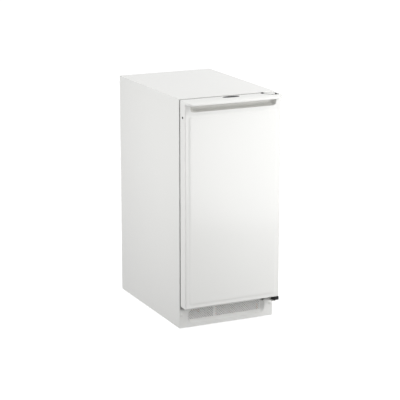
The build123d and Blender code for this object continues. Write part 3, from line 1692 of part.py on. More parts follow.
def shutoff_arm():
    """Wire arm that feels the ice level, swinging about an axis along X."""
    x0 = mould_x + head_right - 8.0
    x1 = mould_x + head_right + 12.0
    low = arm_z - arm_reach
    points = [
        (x0, arm_y, arm_z),
        (x1, arm_y, arm_z),
        (x1, arm_y + 24.0, low),
        (x1, mould_back - 12.0, low),
        (x1, mould_back - 12.0, low + 24.0),
    ]
    return tube(arm_radius, points, [6.0, 12.0, 8.0])


# ---------------------------------------------------------------- write the files
def all_parts():
    """Every node and its shape."""
    parts = {
        "cabinet_wrapper": cabinet_wrapper(),
        "cabinet_liner": cabinet_liner(),
        "cabinet_foam": cabinet_foam(),
        "machine_ceiling": machine_ceiling(),
        "front_rail": front_rail(),
        "rear_panel": rear_panel(),
        "machine_cover": machine_cover(),
        "base_pan": base_pan(),
        "toe_grille": toe_grille(),
        "casing_screws": casing_screws(),
        "top_hinge": top_hinge(),
        "bottom_hinge": bottom_hinge(),
        "hinge_block": hinge_block(),
        "door_skin": door_skin(),
        "door_foam": door_foam(),
        "door_liner": door_liner(),
        "door_gasket": door_gasket(),
        "handle_cap": handle_cap(),
        "badge_plate": badge_plate(),
        "side_plug": side_plug(),
        "hinge_bushings": hinge_bushings(),
        "compressor_shell": compressor_shell(),
        "compressor_pump": compressor_pump(),
        "compressor_mounts": compressor_mounts(),
        "relay_cover": relay_cover(),
        "condenser_tubes": condenser_tubes(),
        "condenser_fins": condenser_fins(),
        "fan_shroud": fan_shroud(),
        "fan_motor": fan_motor(),
        "fan_blade": fan_blade(),
        "filter_drier": filter_drier(),
        "discharge_line": discharge_line(),
        "suction_line": suction_line(),
        "cord_gland": cord_gland(),
        "water_valve": water_valve(),
        "water_line": water_line(),
        "tube_clips": tube_clips(),
        "evaporator_plate": evaporator_plate(),
        "bin_shelf": bin_shelf(),
        "ice_bin": ice_bin(),
        "ice_scoop": ice_scoop(),
        "control_box": control_box(),
        "thermostat": thermostat(),
        "thermostat_knob": thermostat_knob(),
        "rocker_switch": rocker_switch(),
        "ice_mould": ice_mould(),
        "mould_heater": mould_heater(),
        "ice_stripper": ice_stripper(),
        "fill_cup": fill_cup(),
        "head_housing": head_housing(),
        "head_cover": head_cover(),
        "drive_motor": drive_motor(),
        "motor_pinion": motor_pinion(),
        "ejector_gear": ejector_gear(),
        "ejector_rake": ejector_rake(),
        "shutoff_arm": shutoff_arm(),
    }
    for name, x, y in foot_places():
        parts[f"foot_{name}"] = levelling_foot(x, y)
    return parts


os.makedirs(out_folder, exist_ok=True)
for node, shape in all_parts().items():
    export_step(shape, f"{out_folder}/{node}.step")
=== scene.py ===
"""Looks of the undercounter ice maker: finishes for every solid, and the pieces modelled over them."""

import json
import math

import bpy
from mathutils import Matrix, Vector


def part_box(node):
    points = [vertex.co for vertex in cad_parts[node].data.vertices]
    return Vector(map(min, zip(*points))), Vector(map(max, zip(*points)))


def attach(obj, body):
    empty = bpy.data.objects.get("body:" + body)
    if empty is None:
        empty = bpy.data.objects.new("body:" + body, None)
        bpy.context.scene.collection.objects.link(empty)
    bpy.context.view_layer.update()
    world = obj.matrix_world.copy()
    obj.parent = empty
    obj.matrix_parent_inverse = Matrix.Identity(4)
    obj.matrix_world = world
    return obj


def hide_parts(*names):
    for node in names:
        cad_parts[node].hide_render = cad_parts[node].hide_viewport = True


bl_info = {
    "name": "Undercounter ice maker",
    "version": (1, 0, 0),
    "blender": (4, 5, 0),
    "location": "3D View > Sidebar > Ice maker",
    "description": "Models the ice maker's painted casing, door, handle, seal and trim, with finishes",
    "category": "Add Mesh",
}

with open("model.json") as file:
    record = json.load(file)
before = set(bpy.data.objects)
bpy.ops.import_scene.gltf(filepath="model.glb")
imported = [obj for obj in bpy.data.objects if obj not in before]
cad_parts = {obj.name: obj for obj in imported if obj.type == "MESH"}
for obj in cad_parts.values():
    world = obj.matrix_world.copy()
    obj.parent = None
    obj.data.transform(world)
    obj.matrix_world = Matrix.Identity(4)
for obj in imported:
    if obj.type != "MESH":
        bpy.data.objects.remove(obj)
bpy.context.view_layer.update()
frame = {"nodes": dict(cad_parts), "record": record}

CASING_LOW, CASING_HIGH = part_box("cabinet_wrapper")
DOOR_LOW, DOOR_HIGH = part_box("door_skin")
CAP_LOW, CAP_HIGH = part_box("handle_cap")
SEAL_LOW, SEAL_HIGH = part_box("door_gasket")
BADGE_LOW, BADGE_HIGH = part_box("badge_plate")
HINGE_LOW, HINGE_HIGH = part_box("top_hinge")
PIN_STUB = 0.001  # how far the hinge pin stands over its plate
HINGE_TOP = HINGE_HIGH.z - PIN_STUB
PLATE_SHOULDER = 0.028  # slanted side of the plate: its front end, from the plate's left edge
PLATE_SLANT = 0.013  # and its rear end, from the casing's front
PIN = sum(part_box("hinge_bushings"), Vector()) / 2  # on the axis that the door turns about

# finish of each material slot, and of the solids that differ from their slot
FINISH_OF_SLOT = {
    "white_paint": "white_enamel",
    "white_plastic": "white_nylon",
    "liner_plastic": "formed_liner",
    "foam": "insulation",
    "galvanised": "galvanised_sheet",
    "gasket": "seal_rubber",
    "black_plastic": "black_moulding_and_shade",
    "black_steel": "black_enamel",
    "dark_badge": "badge_lacquer",
    "grey_plastic": "grey_moulding",
    "copper": "copper_tube",
    "aluminium": "aluminium_fin",
    "steel": "bright_steel",
    "motor_steel": "motor_plate",
    "rubber": "mount_rubber",
    "cast_pump": "pump_casting",
    "clear_tube": "water_tube",
    "bin_plastic": "bin_polythene",
    "wire_white": "shelf_coating",
}
FINISH_OF_NODE = {
    "top_hinge": "hinge_enamel",
    "bottom_hinge": "hinge_enamel",
    "casing_screws": "hinge_enamel",
    "toe_grille": "white_moulding",
    "handle_cap": "white_moulding",
    "ice_mould": "cast_aluminium",
    "evaporator_plate": "cast_aluminium",
}

# lamps: name, place, point aimed at, side in metres, share of the key lamp's power
MIDDLE = (0.03, -0.1, 0.5)
LAMPS = (
    ("front_lamp", (2.0, -1.5, 2.2), MIDDLE, 1.2, 1.0),
    ("low_lamp", (0.9, -1.5, 0.42), MIDDLE, 1.2, 0.36),
    ("left_lamp", (-1.0, -0.15, 0.7), MIDDLE, 1.2, 0.16),
    ("rear_lamp", (0.5, 2.4, 0.42), (0.0, 0.3, 0.42), 0.6, 0.4),
)

# camera: direction and distance from the point that it looks at
CAMERA_TARGET = Vector((0.0104, 0.0115, 0.4068))
CAMERA_AZIMUTH = math.radians(-25.32)
CAMERA_ELEVATION = math.radians(14.18)
CAMERA_DISTANCE = 5.983


# ---------------------------------------------------------------- settings
def length(name, default, note):
    """A length that the user can change."""
    return bpy.props.FloatProperty(
        name=name, default=default, description=note, min=0.0, unit="LENGTH"
    )


def tone(name, default, note):
    """A colour that the user can change."""
    return bpy.props.FloatVectorProperty(
        name=name, default=default, description=note, subtype="COLOR", size=3, min=0.0, max=1.0
    )


class IceMakerSizes(bpy.types.PropertyGroup):
    """Lengths of the modelled pieces."""

    sheet: length("Sheet", 0.001, "Gauge of the painted steel")
    fold: length("Fold radius", 0.002, "Outside radius of the casing's folds")
    flange: length("Front flange", 0.028, "Width of the casing's folded front border")
    flange_low: length("Flange's lower end", 0.075, "Height where the front border ends")
    panel_border: length("Panel border", 0.012, "Plain margin round the door's raised panel")
    panel_corner: length("Panel corner", 0.015, "Corner radius of the raised panel")
    panel_raise: length("Panel raise", 0.0012, "How far the panel stands out")
    door_fold: length("Door fold", 0.003, "Outside radius of the door's front folds")
    rear_corner: length("Rear corner", 0.008, "Radius of the door's lower rear edge")
    pocket_side: length("Pocket side", 0.020, "Door edge to finger pocket")
    pocket_low: length("Pocket foot", 0.808, "Height of the finger pocket's lower edge")
    pocket_deep: length("Pocket depth", 0.020, "Depth of the finger pocket")
    pocket_corner: length("Pocket corner", 0.012, "Corner radius of the pocket")
    pocket_slope: length("Pocket slope", 0.012, "How far the pocket's ends lean in")
    lip_drop: length("Lip drop", 0.013, "Handle's top to the lip's lower edge")
    lip_root: length("Lip root", 0.009, "Handle's top to its underside at the lip's root")
    lip_corner: length("Lip corner", 0.022, "Corner radius of the lip in plan")
    crown: length("Crown radius", 0.060, "Radius of the handle's top towards the lip")
    hinge_play: length("Hinge play", 0.008, "Room round the top hinge plate")
    hinge_room: length("Hinge room", 0.007, "Depth of the handle's cut-out for the hinge")
    # the black block round the hinge plate is painted shade for the gap in the handle's cut-out
    shade_rim: length("Shim rim", 0.003, "How far the hinge's shim stands out round its plate")
    plug_back: length("Plug place", 0.0095, "Hinge bumper from the casing's front")
    plug_radius: length("Plug radius", 0.0042, "Radius of the hinge's bumper and pin cap")
    plug_rise: length("Plug rise", 0.0026, "How far both stand over the hinge plate")


class IceMakerColours(bpy.types.PropertyGroup):
    """Colours of the finishes."""

    enamel: tone("Enamel", (0.87, 0.87, 0.85), "Casing, door and hinges")
    moulding: tone("Moulding", (0.88, 0.88, 0.86), "Handle and kick plate")
    # darker and warmer than the moulding: painted shade for the pocket under the lip
    pan: tone("Pan", (0.75, 0.745, 0.715), "Finger pocket behind the lip")
    liner: tone("Liner", (0.83, 0.84, 0.84), "Vacuum-formed tub and inner door")
    seal: tone("Seal", (0.13, 0.13, 0.125), "Door gasket")
    # mid grey on the front border: painted shade for the dark gaps beside and over the door
    seat_shade: tone("Seal seat", (0.40, 0.40, 0.39), "Vinyl band on the casing's front border")
    badge: tone("Badge", (0.014, 0.014, 0.016), "Oval plate on the handle")
    # also the black block round the top hinge plate, which is painted shade
    dark: tone("Black parts", (0.012, 0.012, 0.013), "Bearing block, hinge trim, knob, relay cover")


class IceMakerStage(bpy.types.PropertyGroup):
    """Light and lens."""

    ambient: bpy.props.FloatProperty(
        name="Ambient", default=0.65, description="Strength of the even light", min=0.0
    )
    key: bpy.props.FloatProperty(
        name="Key",
        default=34.5,
        description="Power of the front lamp, which the others follow",
        unit="POWER",
        min=0.0,
    )
    lens: bpy.props.FloatProperty(
        name="Lens", default=143.3, description="Focal length in millimetres", min=1.0
    )


# ---------------------------------------------------------------- steps that the finishes share
def textured(name, colour, roughness, metallic=0.0, coat=0.0):
    """A material, with its node tree and its shader."""
    material = bpy.data.materials.new(name)
    material.use_nodes = True
    tree = material.node_tree
    shader = tree.nodes["Principled BSDF"]
    shader.inputs["Base Color"].default_value = (*colour, 1.0)
    shader.inputs["Roughness"].default_value = roughness
    shader.inputs["Metallic"].default_value = metallic
    shader.inputs["Coat Weight"].default_value = coat
    shader.inputs["Coat Roughness"].default_value = 0.12
    return material, tree, shader


def pattern(tree, kind, scale, stretch=(1.0, 1.0, 1.0), **inputs):
    """A procedural texture on Object coordinates."""
    place = tree.nodes.new("ShaderNodeTexCoord")
    mapping = tree.nodes.new("ShaderNodeMapping")
    mapping.inputs["Scale"].default_value = stretch
    texture = tree.nodes.new(kind)
    texture.inputs["Scale"].default_value = scale
    for key, value in inputs.items():
        texture.inputs[key.replace("_", " ").title()].default_value = value
    tree.links.new(place.outputs["Object"], mapping.inputs["Vector"])
    tree.links.new(mapping.outputs["Vector"], texture.inputs["Vector"])
    return texture


def shade_between(tree, shader, source, low, high, start=0.3, end=0.7):
    """Base colour that runs between two tones with a texture."""
    ramp = tree.nodes.new("ShaderNodeValToRGB")
    ramp.color_ramp.elements[0].position = start
    ramp.color_ramp.elements[1].position = end
    ramp.color_ramp.elements[0].color = (*low, 1.0)
    ramp.color_ramp.elements[1].color = (*high, 1.0)
    tree.links.new(source, ramp.inputs["Fac"])
    tree.links.new(ramp.outputs["Color"], shader.inputs["Base Color"])


def gloss_between(tree, shader, source, low, high):
    """Roughness that runs between two values with a texture."""
    span = tree.nodes.new("ShaderNodeMapRange")
    span.inputs["To Min"].default_value = low
    span.inputs["To Max"].default_value = high
    tree.links.new(source, span.inputs["Value"])
    tree.links.new(span.outputs["Result"], shader.inputs["Roughness"])


def relief(tree, shader, source, distance, strength):
    """Bump from a texture."""
    bump = tree.nodes.new("ShaderNodeBump")
    bump.inputs["Distance"].default_value = distance
    bump.inputs["Strength"].default_value = strength
    tree.links.new(source, bump.inputs["Height"])
    tree.links.new(bump.outputs["Normal"], shader.inputs["Normal"])


def scaled(colour, factor):
    """The same colour, lighter or darker."""
    return tuple(min(1.0, part * factor) for part in colour)


# ---------------------------------------------------------------- the finishes
def enamel(name, colour, peel=420.0, roughness=(0.275, 0.29)):
    """Sprayed and baked enamel: faint orange peel, and a slow drift of tone over the sheet."""
    material, tree, shader = textured(name, colour, roughness[0], coat=0.25)
    drift = pattern(tree, "ShaderNodeTexNoise", 3.2, detail=2.0)
    shade_between(
        tree, shader, drift.outputs["Fac"], scaled(colour, 0.985), scaled(colour, 1.01), 0.0, 1.0
    )
    skin = pattern(tree, "ShaderNodeTexNoise", peel, detail=3.0)
    gloss_between(tree, shader, drift.outputs["Fac"], *roughness)
    relief(tree, shader, skin.outputs["Fac"], 0.00006, 0.35)
    return material


def moulded(
    name, colour, grain=1400.0, depth=0.00005, roughness=(0.34, 0.46), coat=0.0, drift=0.03
):
    """Injection-moulded plastic with a fine etched grain."""
    material, tree, shader = textured(name, colour, roughness[0], coat=coat)
    cloud = pattern(tree, "ShaderNodeTexNoise", 9.0, detail=3.0)
    shade_between(
        tree, shader, cloud.outputs["Fac"], scaled(colour, 1 - drift), scaled(colour, 1 + drift), 0.0, 1.0
    )
    gloss_between(tree, shader, cloud.outputs["Fac"], *roughness)
    skin = pattern(tree, "ShaderNodeTexNoise", grain, detail=2.0)
    relief(tree, shader, skin.outputs["Fac"], depth, 0.4)
    return material


def dull(material, level=0.15):
    """The same material with less shine."""
    material.node_tree.nodes["Principled BSDF"].inputs["Specular IOR Level"].default_value = level
    return material


def rolled(name, colour, stretch, roughness=(0.28, 0.42)):
    """Metal with fine lines left by rolling or brushing."""
    material, tree, shader = textured(name, colour, roughness[0], 1.0)
    lines = pattern(tree, "ShaderNodeTexNoise", 1.0, stretch, detail=4.0)
    shade_between(tree, shader, lines.outputs["Fac"], scaled(colour, 0.86), scaled(colour, 1.06))
    gloss_between(tree, shader, lines.outputs["Fac"], *roughness)
    relief(tree, shader, lines.outputs["Fac"], 0.00004, 0.35)
    return material


def galvanised(name, colour):
    """Hot-dip zinc: spangles of a few millimetres, each with its own tone and gloss."""
    material, tree, shader = textured(name, colour, 0.4, 0.85)
    spangle = pattern(tree, "ShaderNodeTexVoronoi", 110.0)
    value = tree.nodes.new("ShaderNodeSeparateColor")
    tree.links.new(spangle.outputs["Color"], value.inputs["Color"])
    shade_between(
        tree, shader, value.outputs["Red"], scaled(colour, 0.84), scaled(colour, 1.1), 0.0, 1.0
    )
    gloss_between(tree, shader, value.outputs["Green"], 0.3, 0.52)
    dross = pattern(tree, "ShaderNodeTexNoise", 700.0, detail=3.0)
    relief(tree, shader, dross.outputs["Fac"], 0.00005, 0.3)
    return material


def drawn_tube(name, colour, tarnish):
    """Drawn copper, tarnished in clouds."""
    material, tree, shader = textured(name, colour, 0.3, 1.0)
    cloud = pattern(tree, "ShaderNodeTexNoise", 38.0, detail=5.0)
    shade_between(tree, shader, cloud.outputs["Fac"], tarnish, colour, 0.35, 0.62)
    gloss_between(tree, shader, cloud.outputs["Fac"], 0.42, 0.24)
    skin = pattern(tree, "ShaderNodeTexNoise", 900.0, detail=2.0)
    relief(tree, shader, skin.outputs["Fac"], 0.00003, 0.3)
    return material


def poured_foam(name, colour):
    """Rigid foam: closed cells, with a browner skin in patches."""
    material, tree, shader = textured(name, colour, 0.9)
    patches = pattern(tree, "ShaderNodeTexNoise", 14.0, detail=4.0)
    shade_between(tree, shader, patches.outputs["Fac"], scaled(colour, 0.82), colour)
    cells = pattern(tree, "ShaderNodeTexVoronoi", 800.0)
    relief(tree, shader, cells.outputs["Distance"], 0.0006, 0.6)
    return material


def cast(name, colour):
    """Sand-cast iron."""
    material, tree, shader = textured(name, colour, 0.6, 0.6)
    lumps = pattern(tree, "ShaderNodeTexNoise", 320.0, detail=5.0)
    shade_between(tree, shader, lumps.outputs["Fac"], scaled(colour, 0.7), scaled(colour, 1.15))
    gloss_between(tree, shader, lumps.outputs["Fac"], 0.5, 0.72)
    relief(tree, shader, lumps.outputs["Fac"], 0.0004, 0.6)
    return material


def translucent(name, colour, weight, roughness):
    """Milky polythene that lets a little light through."""
    material = moulded(name, colour, 900.0, 0.00004, roughness, drift=0.02)
    shader = material.node_tree.nodes["Principled BSDF"]
    shader.inputs["Subsurface Weight"].default_value = weight
    shader.inputs["Subsurface Radius"].default_value = (0.01, 0.01, 0.01)
    shader.inputs["Subsurface Scale"].default_value = 1.0
    return material


# ---------------------------------------------------------------- steps that the pieces share
def clear_selection():
    """Object mode, with nothing selected."""
    if bpy.context.object and bpy.context.object.mode != "OBJECT":
        bpy.ops.object.mode_set(mode="OBJECT")
    bpy.ops.object.select_all(action="DESELECT")


def named(name):
    """The object that was just added, under its own name."""
    added = bpy.context.object
    added.name = added.data.name = name
    return added


def settled(name, scale=None):
    """The primitive that was just added, named, with its place, turn and scale in its mesh."""
    piece = named(name)
    if scale:
        piece.scale = scale
    bpy.ops.object.transform_apply(location=True, rotation=True, scale=True)
    return piece


def start_box(name, low, high):
    """A box between two corners."""
    clear_selection()
    low, high = Vector(low), Vector(high)
    bpy.ops.mesh.primitive_cube_add(size=1.0, location=(low + high) / 2, scale=high - low)
    return settled(name)


def pick(piece, kind, test):
    """Edit mode, with the faces, edges or corners selected that pass the test.

    The test gets a face's middle and normal, an edge's middle and direction, or a corner's
    place and normal.
    """
    if piece.mode != "EDIT":
        bpy.ops.object.mode_set(mode="EDIT")
    bpy.ops.mesh.select_mode(type=kind)
    bpy.ops.mesh.select_all(action="DESELECT")
    bpy.ops.object.mode_set(mode="OBJECT")
    mesh = piece.data
    points = mesh.vertices
    count = 0
    if kind == "FACE":
        for face in mesh.polygons:
            face.select = bool(test(face.center, face.normal))
            count += face.select
    elif kind == "EDGE":
        for edge in mesh.edges:
            a, b = (points[n].co for n in edge.vertices)
            edge.select = bool(test((a + b) / 2, (b - a).normalized()))
            count += edge.select
    else:
        for point in points:
            point.select = bool(test(point.co, point.normal))
            count += point.select
    bpy.ops.object.mode_set(mode="EDIT")
    if not count:
        raise RuntimeError(f"nothing to select on {piece.name}")


def same(a, b, slack=1e-5):
    """True if two places are the same."""
    return abs(a - b) < slack


def cut(piece, place, normal, keep_below=False):
    """Bisect the whole piece; keep_below clears and closes the side that the normal points to."""
    if piece.mode != "EDIT":
        bpy.ops.object.mode_set(mode="EDIT")
    bpy.ops.mesh.select_all(action="SELECT")
    bpy.ops.mesh.bisect(
        plane_co=place, plane_no=normal, use_fill=keep_below, clear_outer=keep_below, threshold=1e-6
    )
    bpy.ops.object.mode_set(mode="OBJECT")


def apply_all(piece):
    """Apply every modifier of a piece."""
    clear_selection()
    bpy.context.view_layer.objects.active = piece
    piece.select_set(True)
    for modifier in list(piece.modifiers):
        bpy.ops.object.modifier_apply(modifier=modifier.name)


def carve(piece, cutter):
    """Take a cutter's shape out of a piece."""
    clear_selection()
    modifier = piece.modifiers.new("carve", "BOOLEAN")
    modifier.operation = "DIFFERENCE"
    modifier.solver = "EXACT"
    modifier.object = cutter
    apply_all(piece)
    bpy.data.objects.remove(cutter)


def thicken(piece, gauge, even=True):
    """Give an open shell its wall, on the side that its normals point away from."""
    clear_selection()
    modifier = piece.modifiers.new("wall", "SOLIDIFY")
    modifier.thickness = gauge
    modifier.offset = -1.0
    modifier.use_even_offset = even
    apply_all(piece)


def soften(piece, width, segments, angle):
    """Round every edge that turns by more than the angle, in degrees."""
    modifier = piece.modifiers.new("soft", "BEVEL")
    modifier.width = width
    modifier.segments = segments
    modifier.limit_method = "ANGLE"
    modifier.angle_limit = math.radians(angle)
    apply_all(piece)


def finish_piece(piece, material, body, nodes=(), angle=35.0):
    """Smooth shading, finish and body; hides the solids that the piece stands for."""
    clear_selection()
    bpy.context.view_layer.objects.active = piece
    piece.select_set(True)
    bpy.ops.object.shade_smooth_by_angle(angle=math.radians(angle))
    piece.data.materials.clear()
    piece.data.materials.append(bpy.data.materials[material])
    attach(piece, body)
    if nodes:
        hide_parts(*nodes)
    piece.select_set(False)


# ---------------------------------------------------------------- the pieces
class ICEMAKER_OT_finishes(bpy.types.Operator):
    """Makes the finishes and puts one on every solid of the ice maker"""

    bl_idname = "icemaker.finishes"
    bl_label = "Finishes"

    def execute(self, context):
        colours = context.scene.icemaker_colours
        finishes = (
            enamel("white_enamel", colours.enamel),
            enamel("hinge_enamel", colours.enamel, 700.0, (0.3, 0.4)),
            enamel("shelf_coating", (0.8, 0.8, 0.79), 900.0, (0.2, 0.3)),
            moulded("white_moulding", colours.moulding, coat=0.15, drift=0.012),
            # grey band on the casing's front border: painted shade for the gaps round the door
            moulded("seat_painted_shade", colours.seat_shade, 700.0, 0.00008, (0.5, 0.6)),
            # the pocket's moulding darkened and warmed: painted shade under the lip
            moulded("pan_painted_shade", colours.pan, roughness=(0.5, 0.56), drift=0.012),
            moulded("formed_liner", colours.liner, 260.0, 0.00012, (0.16, 0.24), 0.3, 0.015),
            poured_foam("insulation", (0.72, 0.60, 0.34)),
            galvanised("galvanised_sheet", (0.56, 0.58, 0.59)),
            moulded("seal_rubber", colours.seal, 500.0, 0.0001, (0.6, 0.75)),
            # real black plastic parts, and the black block of painted shade round the top hinge plate
            dull(moulded("black_moulding_and_shade", colours.dark, 1100.0, 0.0001, (0.42, 0.6)), 0.2),
            enamel("black_enamel", (0.014, 0.014, 0.016), 300.0, (0.28, 0.42)),
            dull(moulded("badge_lacquer", colours.badge, 900.0, 0.00003, (0.45, 0.55), drift=0.1)),
            moulded("grey_moulding", (0.30, 0.31, 0.32), 900.0, 0.0001, (0.45, 0.6)),
            drawn_tube("copper_tube", (0.80, 0.42, 0.26), (0.40, 0.19, 0.11)),
            rolled("aluminium_fin", (0.80, 0.81, 0.82), (1.0, 30.0, 900.0)),
            rolled("cast_aluminium", (0.72, 0.73, 0.74), (180.0, 180.0, 180.0), (0.4, 0.58)),
            rolled("bright_steel", (0.68, 0.68, 0.68), (600.0, 40.0, 600.0)),
            rolled("motor_plate", (0.42, 0.43, 0.44), (260.0, 30.0, 260.0), (0.4, 0.6)),
            moulded("mount_rubber", (0.02, 0.02, 0.02), 700.0, 0.0001, (0.7, 0.85)),
            cast("pump_casting", (0.20, 0.20, 0.21)),
            translucent("water_tube", (0.78, 0.80, 0.78), 0.35, (0.25, 0.36)),
            translucent("bin_polythene", (0.80, 0.84, 0.86), 0.25, (0.3, 0.42)),
            moulded("white_nylon", (0.80, 0.80, 0.78), 1200.0, 0.00006, (0.4, 0.55)),
        )
        made = {material.name: material for material in finishes}
        slots = {part["node"]: part["material_slot"] for part in frame["record"]["subparts"]}
        for node, solid in frame["nodes"].items():
            finish = made[FINISH_OF_NODE.get(node, FINISH_OF_SLOT[slots[node]])]
            solid.data.materials.clear()
            solid.data.materials.append(finish)
        return {"FINISHED"}


class ICEMAKER_OT_casing(bpy.types.Operator):
    """Models the painted sheet that is folded over both sides and the top, and painted shade on the
    seal's seat
    """

    bl_idname = "icemaker.casing"
    bl_label = "Casing"

    def execute(self, context):
        sizes = context.scene.icemaker_sizes
        low, high = CASING_LOW, CASING_HIGH
        piece = start_box("casing_sheet", low, high)
        pick(piece, "FACE", lambda c, n: n.y < -0.9)
        bpy.ops.mesh.inset(thickness=sizes.flange)
        cut(piece, (0, 0, sizes.flange_low), (0, 0, 1))
        pick(
            piece,
            "EDGE",
            lambda c, d: (abs(d.y) > 0.9 and same(c.z, high.z) and same(abs(c.x), high.x))
            or (abs(d.z) > 0.9 and same(c.y, low.y) and same(abs(c.x), high.x))
            or (abs(d.x) > 0.9 and same(c.y, low.y) and same(c.z, high.z)),
        )
        bpy.ops.mesh.bevel(offset=sizes.fold, segments=4, affect="EDGES")
        inner_x = high.x - sizes.flange
        top = high.z - sizes.flange
        pick(
            piece,
            "FACE",
            lambda c, n: n.z < -0.9
            or n.y > 0.9
            or (n.y < -0.9 and abs(c.x) < inner_x and c.z < top)
            or (n.y < -0.9 and c.z < sizes.flange_low),
        )
        bpy.ops.mesh.delete(type="FACE")
        thicken(piece, sizes.sheet)
        soften(piece, width=0.0003, segments=1, angle=60.0)
        finish_piece(piece, "white_enamel", "cabinet", ["cabinet_wrapper"])
        self.seat_shade(sizes, low, high)
        return {"FINISHED"}

    def seat_shade(self, sizes, low, high):
        """Grey band of painted shade on the front border, which the door's seal closes on: it darkens the
        gaps beside and over the door.
        """
        gauge = 0.0002
        inset = sizes.fold + 0.0002  # clear of the casing's fold
        front = low.y - gauge - 0.00005  # its back clears the painted steel
        reveal = 0.001  # bare flange inside the band, and at its lower ends
        half, top = high.x - inset, high.z - inset
        width = sizes.flange - inset - reveal
        band = start_box("seal_seat_shade", (-half, front, sizes.flange_low - width), (half, low.y, top))
        pick(band, "FACE", lambda c, n: n.y > -0.9)
        bpy.ops.mesh.delete(type="FACE")
        pick(band, "FACE", lambda c, n: True)
        bpy.ops.mesh.inset(thickness=width)
        pick(band, "FACE", lambda c, n: abs(c.x) < 0.01 and sizes.flange_low < c.z < top - width)
        bpy.ops.mesh.delete(type="FACE")
        cut(band, (0, 0, sizes.flange_low + reveal), (0, 0, 1))
        pick(band, "FACE", lambda c, n: c.z < sizes.flange_low)
        bpy.ops.mesh.delete(type="FACE")
        thicken(band, gauge)
        # the band is painted shade for the gaps between door and casing
        finish_piece(band, "seat_painted_shade", "cabinet")


class ICEMAKER_OT_door(bpy.types.Operator):
    """Models the door's painted skin with its softly raised panel"""

    bl_idname = "icemaker.door"
    bl_label = "Door skin"

    def execute(self, context):
        sizes = context.scene.icemaker_sizes
        low, high = DOOR_LOW.copy(), DOOR_HIGH.copy()
        face = low.y + sizes.panel_raise
        low.y = face
        piece = start_box("door_sheet", low, high)
        # the folds come first, so that the front stays one flat face
        pick(
            piece,
            "EDGE",
            lambda c, d: same(c.y, face)
            and ((abs(d.z) > 0.9 and same(abs(c.x), high.x)) or (abs(d.x) > 0.9 and same(c.z, low.z))),
        )
        bpy.ops.mesh.bevel(offset=sizes.door_fold, segments=4, affect="EDGES")
        pick(piece, "EDGE", lambda c, d: abs(d.x) > 0.9 and same(c.y, high.y) and same(c.z, low.z))
        bpy.ops.mesh.bevel(offset=sizes.rear_corner, segments=6, affect="EDGES")
        panel_top = sizes.pocket_low - sizes.panel_border
        split = panel_top + sizes.panel_border / 2
        cut(piece, (0, 0, split), (0, 0, 1))
        self.opening(piece, sizes, face, split, high)
        self.panel(piece, sizes, split, panel_top, low, high)
        pick(piece, "FACE", lambda c, n: n.y > 0.999 or n.z > 0.999)
        bpy.ops.mesh.delete(type="FACE")
        thicken(piece, sizes.sheet)
        finish_piece(piece, "white_enamel", "door", ["door_skin"], 25.0)
        return {"FINISHED"}

    def opening(self, piece, sizes, face, split, high):
        """Cuts the finger pocket's opening into the front above the split."""
        margin = 0.004  # the inset's, before its corners move to their places
        pick(piece, "FACE", lambda c, n: n.y < -0.99 and c.z > split)
        bpy.ops.mesh.inset(thickness=margin)
        pick(
            piece,
            "FACE",
            lambda c, n: n.y < -0.99 and c.z > split + margin and abs(c.x) < 0.01,
        )
        bpy.ops.mesh.delete(type="FACE")
        inner = high.x - sizes.door_fold - margin
        half = high.x - sizes.pocket_side
        for side in (-1, 1):
            pick(piece, "VERT", lambda c, n: same(c.y, face) and same(c.x, side * inner) and c.z > split)
            bpy.ops.transform.translate(value=(side * (half - inner), 0, 0))
        for old, new in ((high.z - margin, high.z), (split + margin, sizes.pocket_low)):
            pick(piece, "VERT", lambda c, n: same(c.z, old) and same(abs(c.x), half))
            bpy.ops.transform.translate(value=(0, 0, new - old))
        pick(piece, "VERT", lambda c, n: same(c.z, sizes.pocket_low) and same(abs(c.x), half))
        bpy.ops.mesh.bevel(offset=sizes.pocket_corner, segments=8, affect="VERTICES")

    def panel(self, piece, sizes, split, panel_top, low, high):
        """Raises the middle of the front below the split in one soft step."""
        face = low.y
        margin = sizes.panel_border - sizes.door_fold
        pick(piece, "FACE", lambda c, n: n.y < -0.99 and c.z < split and abs(c.x) < 0.01)
        bpy.ops.mesh.inset(thickness=margin)
        pick(piece, "VERT", lambda c, n: same(c.y, face) and same(c.z, split - margin))
        bpy.ops.transform.translate(value=(0, 0, panel_top - (split - margin)))
        edge, foot = high.x - sizes.panel_border, low.z + sizes.panel_border
        pick(
            piece,
            "VERT",
            lambda c, n: same(c.y, face)
            and same(abs(c.x), edge)
            and (same(c.z, panel_top) or same(c.z, foot)),
        )
        bpy.ops.mesh.bevel(offset=sizes.panel_corner, segments=10, affect="VERTICES")
        pick(
            piece,
            "FACE",
            lambda c, n: n.y < -0.99 and foot < c.z < panel_top and abs(c.x) < 0.01,
        )
        # shallow, steep, steep, shallow: the step's rise as shares of the whole, and its runs
        for share, width in ((0.12, 0.0020), (0.38, 0.0025), (0.38, 0.0025), (0.12, 0.0020)):
            bpy.ops.mesh.inset(thickness=width, depth=sizes.panel_raise * share)


def hinge_block(name, play, right, floor, top):
    """A block with the top hinge plate's outline and some play round it."""
    left, front = HINGE_LOW.x - play, HINGE_LOW.y - play
    back = CASING_LOW.y + 0.001  # a little way into the casing's front
    block = start_box(name, (left, front, floor), (right, back, top))
    shoulder = Vector((left + PLATE_SHOULDER, front, 0))
    slant = Vector((left, CASING_LOW.y - PLATE_SLANT - play, 0))
    run = shoulder - slant
    cut(block, slant, Vector((run.y, -run.x, 0)).normalized(), True)
    return block


